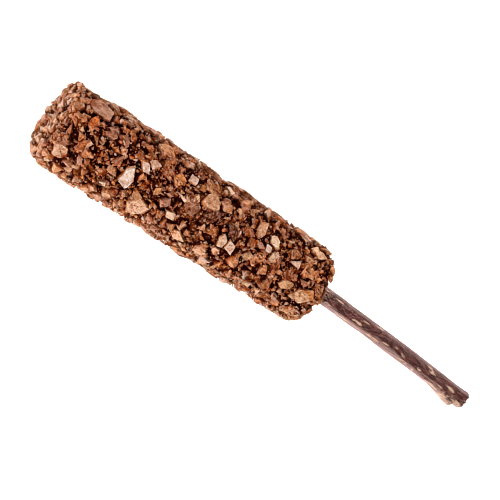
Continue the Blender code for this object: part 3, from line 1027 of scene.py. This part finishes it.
def stays(kind, run, angle, near, shallowest, draw):
    """Whether a piece stays at its place, which it mostly doesn't on top of a flake."""
    point, _ = crust_point(run, angle)
    filled = shallowest * MM * (FILLING + OPENNESS * noise.noise(point / OPEN_PATCH))
    if float(ground[near].mean()) >= filled and kept[near].mean() <= MOST_KEPT:
        return True
    return draw.random() <= KEPT_ON_TOP[kind] and (kind == "crumb" or not kept[near].any())


def clear_of_twig_and_table(points):
    off_twig = np.hypot(points[:, 1] - TWIG_OFFSET, points[:, 2] - AXIS_HEIGHT) > KEPT_OFF_TWIG
    off_twig |= points[:, 0] < SHOULDER - TWIG_IN_HEAD
    return points[:, 2].min() > 0 and off_twig.all()


def scattered(kind, count, lengths, breadths, thicknesses, most_lean, shallowest, reach, draw):
    """Small pieces of one kind, each lying on what is there already."""
    heap, tries = Heap(kind), 0
    while len(heap.counts) < count and tries < count * TRIES:
        tries += 1
        run, angle = drawn_place(draw, 0)
        length = lengths[0] + (lengths[1] - lengths[0]) * draw.random() ** MORE_SHORT
        length *= MM
        near = footprint(run, angle, length * FOOT_REACH)
        if not stays(kind, run, angle, near, shallowest, draw):
            continue
        breadth, thick = length * draw.uniform(*breadths), length * draw.uniform(*thicknesses)
        lean, roll = (math.radians(draw.uniform(-most_lean, most_lean)) for _ in range(2))
        if run < stretches()[0] or abs(math.cos(angle)) < FLAT_WITHIN:
            lean, roll = lean * FLATTENED, roll * FLATTENED
        height = thick * THICKNESS[kind] / 2 + LEAN_HEIGHT * length / 2 * abs(math.sin(lean))
        depth = max(float(ground[near].mean()) - height * SUNK_IN, height * TOP_REACH - reach * MM)
        point, normal = crust_point(run, angle)
        place = Matrix.Translation(point - normal * depth) @ facing(normal)
        turn = Matrix.Rotation(draw.uniform(0, math.tau), 4, "Z")
        tip = Matrix.Rotation(lean, 4, "Y") @ Matrix.Rotation(roll * ROLLED, 4, "X")
        size = Matrix.Diagonal((length, breadth * draw.choice((-1, 1)), thick, 1))
        copy = draw.choice(stock[kind]).copy()
        matrix = place @ turn @ tip @ size
        copy.transform(matrix)
        if matrix.is_negative:
            copy.flip_normals()
        points = points_of(copy)
        if clear_of_twig_and_table(points):
            heap.add(copy, drawn_tone(draw, kind, run, angle), np.full(len(points), draw.random()))
            ground[near] = np.minimum(ground[near], depth - height)
        bpy.data.meshes.remove(copy)
    return heap.to_mesh()


small = {}
fall_draw = random.Random(21)
for row in SCATTER:
    small[row[0]] = scattered(*row, fall_draw)
print({kind: len(mesh.polygons) for kind, mesh in small.items()}, "triangles")

# %% [markdown]
# ## The core under the flakes
#
# Between the flakes the eye falls on the chocolate that holds them. It is the outline moved in by
# the crust's depth and turned about X, with a socket for the twig. Spin makes the turned body from
# its profile, and noise of two sizes makes it lumpy. Soft chocolate rises where flakes sink in, so
# the core is then raised to a depth below the grid's ground. It rises further where the picture
# shows the crust edge on, so that no light comes through between the flakes there.

# %% The core
CORE_STEP = 0.55 * MM
CORE_SIDES = 132
SOCKET_STEPS = 12
LUMPS = ((2.6, 0.7), (0.9, 0.5))  # mm: the grain of the lumps, and their depth
UNDER_FLAKES, UNDER_EDGE_ON = 1.45 * MM, 0.95 * MM  # from the flakes' tops down to the core
EDGE_ON_BLEND = 0.15
RAISED_UNTIL = 1.6 * CORE_TOP  # the socket's wall is deeper, and isn't raised
SOCKET_GAP = 0.3 * MM
SOCKET_RADIUS = TWIG_RADIUS + SOCKET_GAP + 0.25 * MM


def core_profile():
    """Points from the tip's middle, over the outline, and in along the socket."""
    end = sum(stretches(CORE_TOP))
    steps = round(end / CORE_STEP)
    for step in range(steps + 1):
        x, radius, _ = outline_point(end * step / steps, CORE_TOP)
        if radius > SOCKET_RADIUS or step < steps / 2:
            yield x, radius
    depth = TWIG_IN_HEAD - CORE_TOP
    for step in range(SOCKET_STEPS + 1):
        yield SHOULDER - CORE_TOP - depth * step / SOCKET_STEPS, SOCKET_RADIUS
    yield SHOULDER - TWIG_IN_HEAD, 0.0


def risen(mesh):
    """Raises the core to the undersides of the flakes."""
    points = points_of(mesh)
    run, angle, depth = unrolled(points)
    away = np.where(run < stretches()[0] + 2 * TIP_ROUND, np.cos(angle), np.abs(np.cos(angle)))
    edge_on = np.clip((EDGE_ON - away) / EDGE_ON_BLEND, 0, 1)
    under = UNDER_FLAKES + (UNDER_EDGE_ON - UNDER_FLAKES) * edge_on
    lift = np.clip(depth - softened(ground, 2)[cells(run, angle)] - under, 0, None)
    lift[depth > RAISED_UNTIL] = 0
    points += numbers_of(mesh.vertex_normals, "vector") * lift[:, None]
    move_points(mesh, points)


def core_mesh():
    bm = bmesh.new()
    profile = [bm.verts.new((x, 0, radius)) for x, radius in core_profile()]
    for first, second in zip(profile, profile[1:]):
        bm.edges.new((first, second))
    bmesh.ops.spin(
        bm, geom=whole(bm), axis=(1, 0, 0), cent=(0, 0, 0), angle=math.tau, steps=CORE_SIDES,
        use_merge=True,
    )
    bmesh.ops.remove_doubles(bm, verts=bm.verts, dist=0.01 * MM)
    bmesh.ops.recalc_face_normals(bm, faces=bm.faces)
    bm.normal_update()
    for vert in bm.verts:
        if math.hypot(vert.co.y, vert.co.z) > SOCKET_RADIUS * 1.2:
            lumps = (noise.noise(vert.co / (grain * MM)) * depth * MM for grain, depth in LUMPS)
            vert.co += vert.normal * sum(lumps)
    bmesh.ops.translate(bm, vec=(0, 0, AXIS_HEIGHT), verts=bm.verts)
    mesh = finished(bm, "core")
    risen(mesh)
    write_tones(mesh, np.tile(TONES["dark"], (len(mesh.vertices), 1)))
    write_shares(mesh, "fresh", np.zeros(len(mesh.vertices)))
    return mesh


core = core_mesh()
print("core:", len(core.polygons), "faces")

# %% [markdown]
# ## Rolling the crust
#
# The real crust was pressed by rolling, so that few corners stand out. Points that stand further
# out than a limit are moved in, most of the way, which keeps the shapes but evens the outline. Then
# the crust and the core are dented together, where the picture's outline goes in: at the tip's rim,
# along both sides and in two places on top.

# %% Pressing in what stands out
PRESS_FROM = 0.1 * MM
PRESS_TO = 0.7 * MM
DENTED_DEPTH = 5 * MM  # the socket's wall is deeper, and keeps its place
# Dents: mm from the tip, degrees from the top, half width and depth in mm
DENTS = (
    (1, 75, 5, 0.9), (1, -75, 5, 0.9), (7, -90, 6, 1.2), (22, -92, 4, 0.6), (37.5, 88, 4, 1.2),
    (56, 85, 4, 0.5), (76, 88, 4, 0.6), (87, 82, 5, 0.6), (66, 20, 4, 0.4), (50, -40, 4, 0.4),
)


def dented(run, angle):
    """How deep the crust is pressed in at each run and angle."""
    sunk = np.zeros(np.shape(run))
    for along, turn, half, depth in DENTS:
        far_along = run - stretches()[0] - TIP_ROUND * (math.pi / 2 - 1) - along * MM
        far_round = ((angle - math.radians(turn) + math.pi) % math.tau - math.pi) * HEAD_RADIUS
        far = np.hypot(far_along, far_round) / (half * MM)
        sunk += depth * MM * np.clip(1 - far**2, 0, 1)
    return sunk


def pressed(mesh):
    """Presses and dents a mesh; gives the share of its points that stood out."""
    points = points_of(mesh)
    run, angle, depth = unrolled(points)
    ends = np.cumsum((0, *stretches()))
    slant = np.interp(run, ends, np.array((-1, -1, 0, 0, 1, 1)) * math.pi / 2)
    normal = np.stack(
        (np.sin(slant), -np.sin(angle) * np.cos(slant), np.cos(angle) * np.cos(slant)), axis=1
    )
    out = np.maximum(0, -depth - PRESS_FROM)
    span = PRESS_TO - PRESS_FROM
    left = span * (1 - np.exp(-out / span))
    dent = np.where(depth < DENTED_DEPTH, dented(run, angle), 0)
    move_points(mesh, points - normal * (out - left + dent)[:, None])
    return float((out > 0).mean())


head = {"core": core, **large, **small}
print({name: round(pressed(mesh), 3) for name, mesh in head.items()}, "share moved")

# %% [markdown]
# ## Hollows, for painted shade
#
# The gaps between the flakes get painted shade. How much of a hollow each point lies in is worked
# out once: how deep it is below the outline, and how much deeper than the ground around. It is kept
# as a number on each point, which the material reads to darken the colour there as painted shade.

# %% The hollow attribute, read as painted shade
AROUND = 10  # how many times the grid is softened, for the ground around
BELOW_AROUND, BELOW_OUTLINE = 1.3 * MM, 2.2 * MM  # how deep is wholly a hollow
AROUND_SHARE = 0.55
rows, columns = np.indices(ground.shape)
sunk = dented((rows + 0.5) / RUNS * sum(stretches()), (columns + 0.5) / TURNS * math.tau)
around = softened(ground + sunk, AROUND)


def add_hollow(mesh):
    run, angle, depth = unrolled(points_of(mesh))
    cell = cells(run, angle)
    below = (depth - around[cell]) / BELOW_AROUND
    deep = (depth - sunk[cell]) / BELOW_OUTLINE
    hollow = np.clip(AROUND_SHARE * below + (1 - AROUND_SHARE) * deep, 0, 1)
    write_shares(mesh, "hollow", hollow)
    return float(hollow.mean())


print({name: round(add_hollow(mesh), 2) for name, mesh in head.items()})

# %% [markdown]
# ## Sharp edges and creases: painted highlight and shade
#
# Sharp edges get a painted highlight, and creases get painted shade. How far each point
# stands out from the points that it is joined to tells the two apart: the joints of an edge all run
# down from it, and those of a crease run up.

# %% The relief attribute
RELIEF_GAIN = 1.3
SMALL_RELIEF_GAIN = 0.3  # small pieces have so few points that each of them stands out


def add_relief(mesh, gain):
    """Writes 1 on sharp edges, 0.5 on flat faces and 0 in creases."""
    points, normals = points_of(mesh), numbers_of(mesh.vertex_normals, "vector")
    ends = np.empty(len(mesh.edges) * 2, np.int32)
    mesh.edges.foreach_get("vertices", ends)
    first, second = ends.reshape(-1, 2).T
    way = points[second] - points[first]
    way /= np.linalg.norm(way, axis=1, keepdims=True) + 1e-9
    drop = np.bincount(first, -(way * normals[first]).sum(1), len(points))
    drop += np.bincount(second, (way * normals[second]).sum(1), len(points))
    count = np.bincount(ends, minlength=len(points))
    relief = np.clip(0.5 + gain * drop / np.maximum(count, 1), 0, 1)
    write_shares(mesh, "relief", relief)
    return float(relief.mean())


for name, mesh in head.items():
    share = add_relief(mesh, SMALL_RELIEF_GAIN if name in small else RELIEF_GAIN)
    print(name, "relief", round(share, 2))

# %% [markdown]
# ## The chocolate's finish
#
# One node group makes the crumbly mottling that every rough surface here has: noise of two sizes,
# one as a mask for the colour and one as a height for the bump. The chocolate takes the flake's own
# tone, and mottles it twice, in patches and in grains, more on a fresh break than on a smooth face,
# and least where the tone is pale with bloom. Coats then go over it, one after another: a painted
# highlight on sharp edges, painted shade in creases, pale specks, dark pits, pale dust that also
# paints light and sheen on what faces the tip and the sides, and two depths of painted shade in the
# hollows.

# %% Short ways to set, mix and range


def set_up(tree, node, inputs):
    """Gives a node's inputs, by name or number, a socket to read or a value of their own."""
    for name, value in inputs.items():
        if isinstance(value, bpy.types.NodeSocket):
            tree.links.new(value, node.inputs[name])
        else:
            node.inputs[name].default_value = value
    return node


def added(tree, kind, inputs=(), **settings):
    """A new node with its settings and inputs."""
    node = tree.nodes.new("ShaderNode" + kind)
    for name, value in settings.items():
        setattr(node, name, value)
    return set_up(tree, node, dict(inputs))


def mixed(tree, blend, share, first, second):
    """A colour mix of two sockets or colours, by a socket or number."""
    node = added(tree, "Mix", data_type="RGBA", blend_type=blend)
    pair = ((*value, 1) if isinstance(value, tuple) else value for value in (first, second))
    return set_up(tree, node, {0: share, **dict(zip((6, 7), pair))}).outputs[2]


def ranged(tree, value, low, high, first=0.0, last=1.0):
    """A number carried from one range to another."""
    ends = {"From Min": low, "From Max": high, "To Min": first, "To Max": last}
    return added(tree, "MapRange", {"Value": value, **ends}).outputs["Result"]


def coated(tree, colour, coats):
    """Lays coats on a colour: each a mask, the range where it shows, its most, blend and colour."""
    for mask, low, high, most, blend, coat in coats:
        colour = mixed(tree, blend, ranged(tree, mask, low, high, 0, most), colour, coat)
    return colour


def new_finish(name):
    """A material, its node tree and its shader."""
    made = bpy.data.materials.new(name)
    made.use_nodes = True
    return made, made.node_tree, made.node_tree.nodes["Principled BSDF"]


# %% A shared group: mottling


def mottling():
    tree = bpy.data.node_groups.new("mottling", "ShaderNodeTree")
    for name, way in (("Grain", "INPUT"), ("Mask", "OUTPUT"), ("Height", "OUTPUT")):
        tree.interface.new_socket(name, in_out=way, socket_type="NodeSocketFloat")
    start, end = tree.nodes.new("NodeGroupInput"), tree.nodes.new("NodeGroupOutput")
    grain = start.outputs["Grain"]
    noisy = {"Vector": added(tree, "TexCoord").outputs["Object"], "Detail": 4, "Roughness": 0.7}
    finer = added(tree, "Math", {0: grain, 1: 2.2}, operation="MULTIPLY")
    coarse = added(tree, "TexNoise", {**noisy, "Scale": grain})
    fine = added(tree, "TexNoise", {**noisy, "Scale": finer.outputs[0]})
    mask = ranged(tree, coarse.outputs["Fac"], 0.35, 0.65)
    set_up(tree, end, {"Mask": mask, "Height": fine.outputs["Fac"]})
    return tree


mottled = mottling()
print("group:", mottled.name)

# %% Chocolate
PATCHES, GRAINS = 560, 1900  # noise scales, for a metre
FRESH_BREAK = (0.80, 0.48, 0.23)
# what the tone is multiplied by where the mottling is low and high, on smooth faces and on breaks
PATCH_LEVELS = (
    ((0.70, 0.52, 0.36), (1.14, 1.14, 1.16)),
    ((0.69, 0.39, 0.13), (1.18, 1.16, 1.20)),
)
GRAIN_LEVELS = (
    ((0.44, 0.31, 0.20), (1.44, 1.48, 1.56)),
    ((0.12, 0.040, 0.010), (1.9, 1.95, 2.0)),
)
# painted highlight on sharp edges, and painted shade in creases
EDGE_HIGHLIGHT, CREASE_SHADE = (1.42, 1.52, 1.65), (0.22, 0.10, 0.04)
# the second colour is pale dust that also paints light and sheen on faces towards the tip and the
# sides
SPECK, DUST_AND_LIGHT = (0.62, 0.42, 0.31), (0.42, 0.295, 0.235)
SMOOTH_PIT, ROUGH_PIT = (0.8, 0.7, 0.6), (0.25, 0.13, 0.07)
# painted shade in the hollows, a lighter and a deeper one
HOLLOW_SHADE, DEEP_HOLLOW_SHADE = (0.56, 0.25, 0.06), (0.16, 0.03, 0.015)


def chocolate_finish():
    made, tree, surface = new_finish("chocolate")
    hollow, fresh, relief = (
        added(tree, "Attribute", attribute_name=name).outputs["Fac"]
        for name in ("hollow", "fresh", "relief")
    )
    tone = added(tree, "Attribute", attribute_name="tone").outputs["Color"]
    patches, grain = (
        added(tree, "Group", {"Grain": scale}, node_tree=mottled).outputs
        for scale in (PATCHES, GRAINS)
    )
    normal = added(tree, "SeparateXYZ", {0: added(tree, "TexCoord").outputs["Normal"]}).outputs
    colour = mixed(tree, "MULTIPLY", fresh, tone, FRESH_BREAK)
    mottling_share = ranged(tree, tone, 0.26, 0.34, first=1.0, last=0.5)
    for mask, levels in ((patches["Mask"], PATCH_LEVELS), (grain["Mask"], GRAIN_LEVELS)):
        smooth, rough = (mixed(tree, "MIX", mask, *pair) for pair in levels)
        levelled = mixed(tree, "MIX", fresh, smooth, rough)
        colour = mixed(tree, "MULTIPLY", mottling_share, colour, levelled)
    pit = mixed(tree, "MIX", fresh, SMOOTH_PIT, ROUGH_PIT)
    colour = coated(tree, colour, (  # mask, the range where it shows, its most, blend and colour
        # painted highlight on sharp edges, then painted shade in creases
        (relief, 0.6, 0.9, 1, "MULTIPLY", EDGE_HIGHLIGHT),
        (relief, 0.45, 0.2, 0.85, "MULTIPLY", CREASE_SHADE),
        (grain["Height"], 0.55, 0.66, 0.55, "MIX", SPECK),
        (patches["Height"], 0.46, 0.36, 0.8, "MULTIPLY", pit),
        # pale dust, which also paints light and sheen on faces towards the tip and the sides
        (normal["X"], -0.5, -1, 0.45, "MIX", DUST_AND_LIGHT),
        (normal["Y"], -0.5, -1, 0.5, "MIX", DUST_AND_LIGHT),
        (normal["Y"], 0.5, 1, 0.35, "MIX", DUST_AND_LIGHT),
        # painted shade in the hollows, in two depths
        (hollow, 0.15, 0.50, 1, "MULTIPLY", HOLLOW_SHADE),
        (hollow, 0.45, 0.75, 1, "MULTIPLY", DEEP_HOLLOW_SHADE),
    ))
    bump = added(tree, "Bump", {"Strength": 0.9, "Distance": 0.2 * MM, "Height": grain["Height"]})
    set_up(tree, surface, {
        "Base Color": colour,
        "Roughness": ranged(tree, grain["Mask"], 0, 1, 0.9, 0.65),
        "Specular IOR Level": 0.02,
        "Normal": bump.outputs["Normal"],
    })
    return made


chocolate = chocolate_finish()
print("finish:", chocolate.name)

# %% Put the head's pieces in the scene


def in_scene(name, data):
    made = bpy.data.objects.new(name, data)
    bpy.context.scene.collection.objects.link(made)
    return made


def add_piece(name, mesh, finish, node, sharp):
    """One piece of the lollipop, with its finish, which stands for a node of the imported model."""
    made = in_scene(name, mesh)
    mesh.materials.clear()
    mesh.materials.append(finish)
    mesh.shade_smooth()
    mesh.set_sharp_from_angle(angle=math.radians(sharp))
    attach(made, "root")
    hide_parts(node)
    return made


for name, mesh in head.items():
    add_piece(name, mesh, chocolate, "head", sharp=20)
print("head's pieces:", len(head))

# %% [markdown]
# ## The twig
#
# The twig is a real stick, 5 mm thick, that bends a little to one side. It has its bark on, with
# long fibres, worn spots where the pale wood shows, the stub of a side shoot, and a ragged cut end.
# A cone with equal radii gives a closed tube, its long edges are split into many rings, and each
# point is then moved to the bark's own distance from the twig's bent middle. How bare of bark each
# point is goes with it as a number: wholly in the worn spots, and partly at the head, at the stub
# and on the cut.

# %% The twig's form, as the solid has it
TWIG_SWELL = 0.15 * MM
BARK_RELIEF = 0.16 * MM
FIBRE_WIDTH = 1.1 * MM
FIBRE_LENGTH = 9 * MM
SPUR_START = 49 * MM
SPUR_END = 60.5 * MM
SPUR_HEIGHT = 1.4 * MM
END_FLARE = 0.1 * MM
END_SLANT = 0.12


def smooth_step(value):
    value = min(1.0, max(0.0, value))
    return value * value * (3 - 2 * value)


def twig_radius(x, angle):
    """How far the bark stands from the twig's middle, with angle 0 towards -Y."""
    run = x - SHOULDER
    across = Vector((math.sin(angle), math.cos(angle))) * TWIG_RADIUS / FIBRE_WIDTH
    bark = BARK_RELIEF * noise.noise((x / FIBRE_LENGTH, *across))
    rise = smooth_step((run - SPUR_START) / (SPUR_END - SPUR_START))
    spur = SPUR_HEIGHT * rise * max(0.0, math.cos(angle)) ** 2 if run < SPUR_END else 0.0
    flare = END_FLARE * smooth_step((run - SPUR_END) / (TWIG_LENGTH - SPUR_END))
    return TWIG_RADIUS + TWIG_SWELL * max(0.0, run) / TWIG_LENGTH + bark + spur + flare


# %% The twig's worn spots
# mm from the head along the twig, degrees from the top towards -Y, half length, half width in mm
WORN_SPOTS = (
    (1.6, 58, 1.8, 0.7), (3.5, 10, 0.9, 0.6), (2.5, -48, 2.0, 0.5), (5.5, 35, 1.0, 0.3),
    (12.5, 64, 3.4, 0.5), (17.5, 14, 1.9, 0.4), (20, -22, 1.2, 0.25), (24.8, 40, 2.8, 0.40),
    (25.5, -52, 1.2, 0.45), (33, -4, 0.9, 0.4), (36.5, 8, 1.0, 0.35), (37.5, 48, 1.7, 0.45),
    (42, 55, 1.0, 0.5), (47, -40, 1.0, 0.35), (48.5, -16, 1.3, 0.5), (50, 64, 3.6, 0.6),
    (56.5, 78, 2.6, 0.9), (57, -10, 1.8, 0.5), (9, -34, 1.8, 0.2), (29, 18, 1.4, 0.2),
    (44, 20, 1.1, 0.25), (53, 24, 1.3, 0.3), (61, 40, 1.4, 0.6),
    (7, 140, 2.4, 0.5), (16, 205, 2.0, 0.6), (22, 160, 1.5, 0.5), (31, 235, 2.8, 0.5),
    (34, 120, 1.6, 0.5), (41, 185, 2.2, 0.6), (48, 150, 1.6, 0.4), (53, 215, 2.0, 0.6),
    (12, 260, 1.8, 0.4), (45, 275, 2.0, 0.4), (26, 285, 1.2, 0.4),
)
SPOT_RIM = 1.1  # a spot's bark is gone a little past its half size
SPOT_BLEND = 0.5
RAGGED, RAGGED_GRAIN, RAGGED_ALONG = 0.9, 0.35 * MM, 2.4
PATCHY, PATCH_GRAIN = 0.4, 1.6 * MM
SPUR_RUBBED_OVER, HEAD_RUBBED_OVER = 8 * MM, 9 * MM
RUBBED, MORE_RUBBED, HEAD_RUBBED, RUBBED_UNEVEN, RUBBED_GRAIN = 0.12, 0.4, 0.6, 0.25, 1.3 * MM


def worn(run, turn, co):
    """How far the bark is worn off at a place, from 0 to 1, with ragged edges."""
    most = 0.0
    ragged = RAGGED * noise.noise(Vector((co.x / RAGGED_ALONG, co.y, co.z)) / RAGGED_GRAIN)
    ragged += PATCHY * noise.noise(co / PATCH_GRAIN)
    for along, angle, half, wide in WORN_SPOTS:
        gap = (turn - math.radians(angle) + math.pi) % math.tau - math.pi
        far = math.hypot((run - along * MM) / (half * MM), gap * TWIG_RADIUS / (wide * MM))
        most = max(most, smooth_step((SPOT_RIM - far + ragged) / SPOT_BLEND))
    return most


def rubbed(run, angle, at):
    """How far the bark is rubbed thin: a little all over, and more at the head and at the stub."""
    at_spur = smooth_step((run - SPUR_START) / SPUR_RUBBED_OVER) * max(0.0, math.cos(angle))
    at_head = 1 - smooth_step(run / HEAD_RUBBED_OVER)
    uneven = RUBBED_UNEVEN * noise.noise(at / RUBBED_GRAIN)
    return RUBBED + MORE_RUBBED * max(at_spur, HEAD_RUBBED * at_head) + uneven


# %% The twig's mesh
TWIG_SIDES = 96
TWIG_RINGS = 400
FIRST_INSET, CAP_INSET, CAP_INSETS = 0.4 * MM, 0.45 * MM, 4
FINE_RELIEF = 0.09 * MM
FINE_WIDTH = 0.32 * MM
FINE_LENGTH = 3.2 * MM
WORN_DEPTH = 0.1 * MM
FINER, FINER_GRAIN = 0.5, 2.3
GRAINY, GRAIN = 0.7, 0.45 * MM
WORN_SMOOTH = 0.7  # how much of the fine relief a worn spot has lost
BARK_FROM = 0.97  # of the radius, the rim of the cut
CUT_WITHIN = 0.1 * MM  # of the end, the points that belong to the cut
CUT_OUT, CUT_RAGGED, CUT_GRAIN, CUT_ROUND = 0.3, 0.7, 0.5 * MM, 0.25 * MM
CUT_BARE, CUT_RIM_BARE, CUT_RIM = 0.85, 0.4, 0.9


def closed_tube(start, end):
    """A closed tube along X of many rings, with rings on its cut end too."""
    bm = bmesh.new()
    middle = Matrix.Translation(((start + end) / 2, 0, 0))
    bmesh.ops.create_cone(
        bm, cap_ends=True, segments=TWIG_SIDES, radius1=TWIG_RADIUS, radius2=TWIG_RADIUS,
        depth=end - start, matrix=middle @ Matrix.Rotation(math.pi / 2, 4, "Y"),
    )
    cap = max(bm.faces, key=lambda face: face.calc_center_median().x)
    long = [edge for edge in bm.edges if edge.calc_length() > TWIG_LENGTH]
    for inset in (FIRST_INSET, *(CAP_INSET,) * CAP_INSETS):
        bmesh.ops.inset_region(bm, faces=[cap], thickness=inset)
    bmesh.ops.poke(bm, faces=[cap])
    bmesh.ops.subdivide_edges(bm, edges=long, cuts=TWIG_RINGS)
    return bm


def fine_relief(at):
    """The bark's finest fibres and grain at a place, about -2 to 2."""
    along = Vector((at.x / FINE_LENGTH, at.y / FINE_WIDTH, at.z / FINE_WIDTH))
    fibres = noise.noise(along) + FINER * noise.noise(along * FINER_GRAIN)
    return fibres + GRAINY * noise.noise(at / GRAIN)


def twig_mesh():
    bm = closed_tube(SHOULDER - TWIG_IN_HEAD, TWIG_END)
    bare = bm.verts.layers.float.new("bare")
    for vert in bm.verts:
        x = vert.co.x
        away = Vector((0, vert.co.y, vert.co.z))
        share = min(1.0, away.length / TWIG_RADIUS)
        angle = math.atan2(away.z, -away.y)
        middle = twig_middle(x)
        around = away.normalized() if share > 0 else away
        at = middle + around * TWIG_RADIUS
        spot = worn(x - SHOULDER, math.pi / 2 - angle, at) if share > BARK_FROM else 0.0
        fine = FINE_RELIEF * fine_relief(at) * (1 - WORN_SMOOTH * spot)
        radius = twig_radius(x, angle) + fine - WORN_DEPTH * spot
        vert.co = middle + around * radius * share
        if x > TWIG_END - CUT_WITHIN:
            vert.co.x += END_SLANT * (vert.co.y - middle.y)
            ragged = CUT_OUT + CUT_RAGGED * noise.noise(vert.co / CUT_GRAIN)
            vert.co.x += ragged * MM - CUT_ROUND * share**4
            spot = CUT_BARE if share < CUT_RIM else CUT_RIM_BARE
        vert[bare] = max(spot, rubbed(x - SHOULDER, angle, at))
    bmesh.ops.triangulate(bm, faces=[face for face in bm.faces if len(face.verts) > 4])
    return finished(bm, "twig")


bark_mesh = twig_mesh()
print("twig:", len(bark_mesh.polygons), "faces")

# %% Bark
FIBRES, STREAKS, BARK_GRAIN = 2600, 700, 1300  # noise scales, for a metre
ALONG_FIBRES = (0.36, 1, 1)
DARK_BARK, BARK = (0.017, 0.003, 0.003), (0.056, 0.014, 0.013)
BARK_LEVELS = ((0.35, 0.28, 0.30), (1.9, 1.92, 1.9))
# the second colour is a painted highlight on the side towards the main light, and a painted
# reflection on the far side
BARK_SPECK, BARK_HIGHLIGHT = (0.34, 0.20, 0.16), (0.38, 0.235, 0.21)
WOOD = ((0.25, 0.135, 0.085), (0.54, 0.36, 0.255))


def bark_finish():
    made, tree, surface = new_finish("bark")
    bare = added(tree, "Attribute", attribute_name="bare").outputs["Fac"]
    place = added(tree, "TexCoord").outputs
    normal = added(tree, "SeparateXYZ", {0: place["Normal"]}).outputs
    along = added(tree, "Mapping", {"Vector": place["Object"], "Scale": ALONG_FIBRES}).outputs[0]
    fibres, streaks = (
        added(tree, "TexNoise", {"Vector": along, "Scale": scale, "Detail": 3}).outputs["Fac"]
        for scale in (FIBRES, STREAKS)
    )
    grain = added(tree, "Group", {"Grain": BARK_GRAIN}, node_tree=mottled).outputs
    colour = mixed(tree, "MIX", ranged(tree, streaks, 0.4, 0.62), DARK_BARK, BARK)
    colour = mixed(tree, "MULTIPLY", 1.0, colour, ranged(tree, fibres, 0.35, 0.65, 0.55, 1.45))
    colour = mixed(tree, "MULTIPLY", 1.0, colour, mixed(tree, "MIX", grain["Mask"], *BARK_LEVELS))
    ragged = ranged(tree, fibres, 0.38, 0.62, 0.2, 1.4)
    bared = added(tree, "Math", {0: bare, 1: ragged}, operation="MULTIPLY").outputs[0]
    colour = coated(tree, colour, (
        (grain["Height"], 0.54, 0.63, 0.7, "MIX", BARK_SPECK),
        # painted highlight towards the main light, then a painted reflection on the far side
        (normal["Y"], -0.35, -1, 0.8, "MIX", BARK_HIGHLIGHT),
        (normal["Y"], 0.35, 1, 0.28, "MIX", BARK_HIGHLIGHT),
        (bared, 0.22, 0.6, 1, "MIX", mixed(tree, "MIX", grain["Mask"], *WOOD)),
    ))
    bump = added(tree, "Bump", {"Strength": 0.5, "Distance": 0.08 * MM, "Height": fibres})
    set_up(tree, surface, {
        "Base Color": colour,
        "Roughness": 0.5,
        "Specular IOR Level": 0.08,
        "Sheen Weight": 0.1,
        "Sheen Roughness": 0.3,
        "Sheen Tint": (1, 0.84, 0.82, 1),
        "Normal": bump.outputs["Normal"],
    })
    return made


add_piece("bark", bark_mesh, bark_finish(), "twig", sharp=50)
print("bark added")

# %% [markdown]
# ## Table, light and camera
#
# The picture was taken in a white tent: a white table, white all round, and one soft main light
# from the side of the lower left. The table glows a little, as the tent's cloth lights it from all
# sides. The camera looks down on the lollipop, 24 degrees off square, and is turned so that the
# lollipop lies aslant in the frame.

# %% The table


def add_table():
    bm = bmesh.new()
    bmesh.ops.create_grid(bm, x_segments=1, y_segments=1, size=3)
    made = in_scene("table", finished(bm, "table"))
    finish, tree, surface = new_finish("table")
    set_up(tree, surface, {
        "Base Color": (0.93, 0.93, 0.93, 1),
        "Roughness": 0.9,
        "Specular IOR Level": 0.1,
        "Emission Color": (1, 1, 1, 1),
        "Emission Strength": 0.75,
    })
    made.data.materials.append(finish)


add_table()

# %% Light
middle = Vector((TIP + 60 * MM, 0, AXIS_HEIGHT))


def add_softbox(name, way, distance, size, power):
    """A square light that faces the head's middle from a direction."""
    lamp = bpy.data.lights.new(name, "AREA")
    lamp.size, lamp.energy = size, power
    made = in_scene(name, lamp)
    made.location = middle + Vector(way).normalized() * distance
    made.rotation_euler = (middle - made.location).to_track_quat("-Z", "Y").to_euler()


world = bpy.data.worlds.new("tent")
world.use_nodes = True
background = world.node_tree.nodes["Background"]
set_up(world.node_tree, background, {"Color": (1, 1, 1, 1), "Strength": 0.31})
bpy.context.scene.world = world
add_softbox("main", (-0.65, -0.74, 0.77), distance=0.6, size=0.12, power=7.0)
add_softbox("far_side", (0.2, 1, 0.35), distance=0.5, size=0.2, power=3.6)
bpy.context.scene.view_settings.view_transform = "Standard"
bpy.context.scene.cycles.filter_width = 0.8

# %% Camera
CAMERA_TILT = math.radians(24)
CAMERA_ROLL = math.radians(33.4)
CAMERA_DISTANCE = 427.5 * MM
CAMERA_LENS = 108


def add_camera():
    target = Vector((TIP + 69.5 * MM, -0.5 * MM, AXIS_HEIGHT))
    to_camera = Vector((-math.sin(CAMERA_TILT), 0, math.cos(CAMERA_TILT)))
    along = Vector((math.cos(CAMERA_TILT), 0, math.sin(CAMERA_TILT)))
    across = Vector((0, -1, 0))
    right = along * math.cos(CAMERA_ROLL) - across * math.sin(CAMERA_ROLL)
    down = along * math.sin(CAMERA_ROLL) + across * math.cos(CAMERA_ROLL)
    lens = bpy.data.cameras.new("camera")
    lens.lens, lens.sensor_width = CAMERA_LENS, 36
    lens.clip_start, lens.clip_end = 0.01, 10
    made = in_scene("camera", lens)
    made.matrix_world = Matrix((right, -down, to_camera)).transposed().to_4x4()
    made.location = target + to_camera * CAMERA_DISTANCE
    bpy.context.scene.camera = made


add_camera()
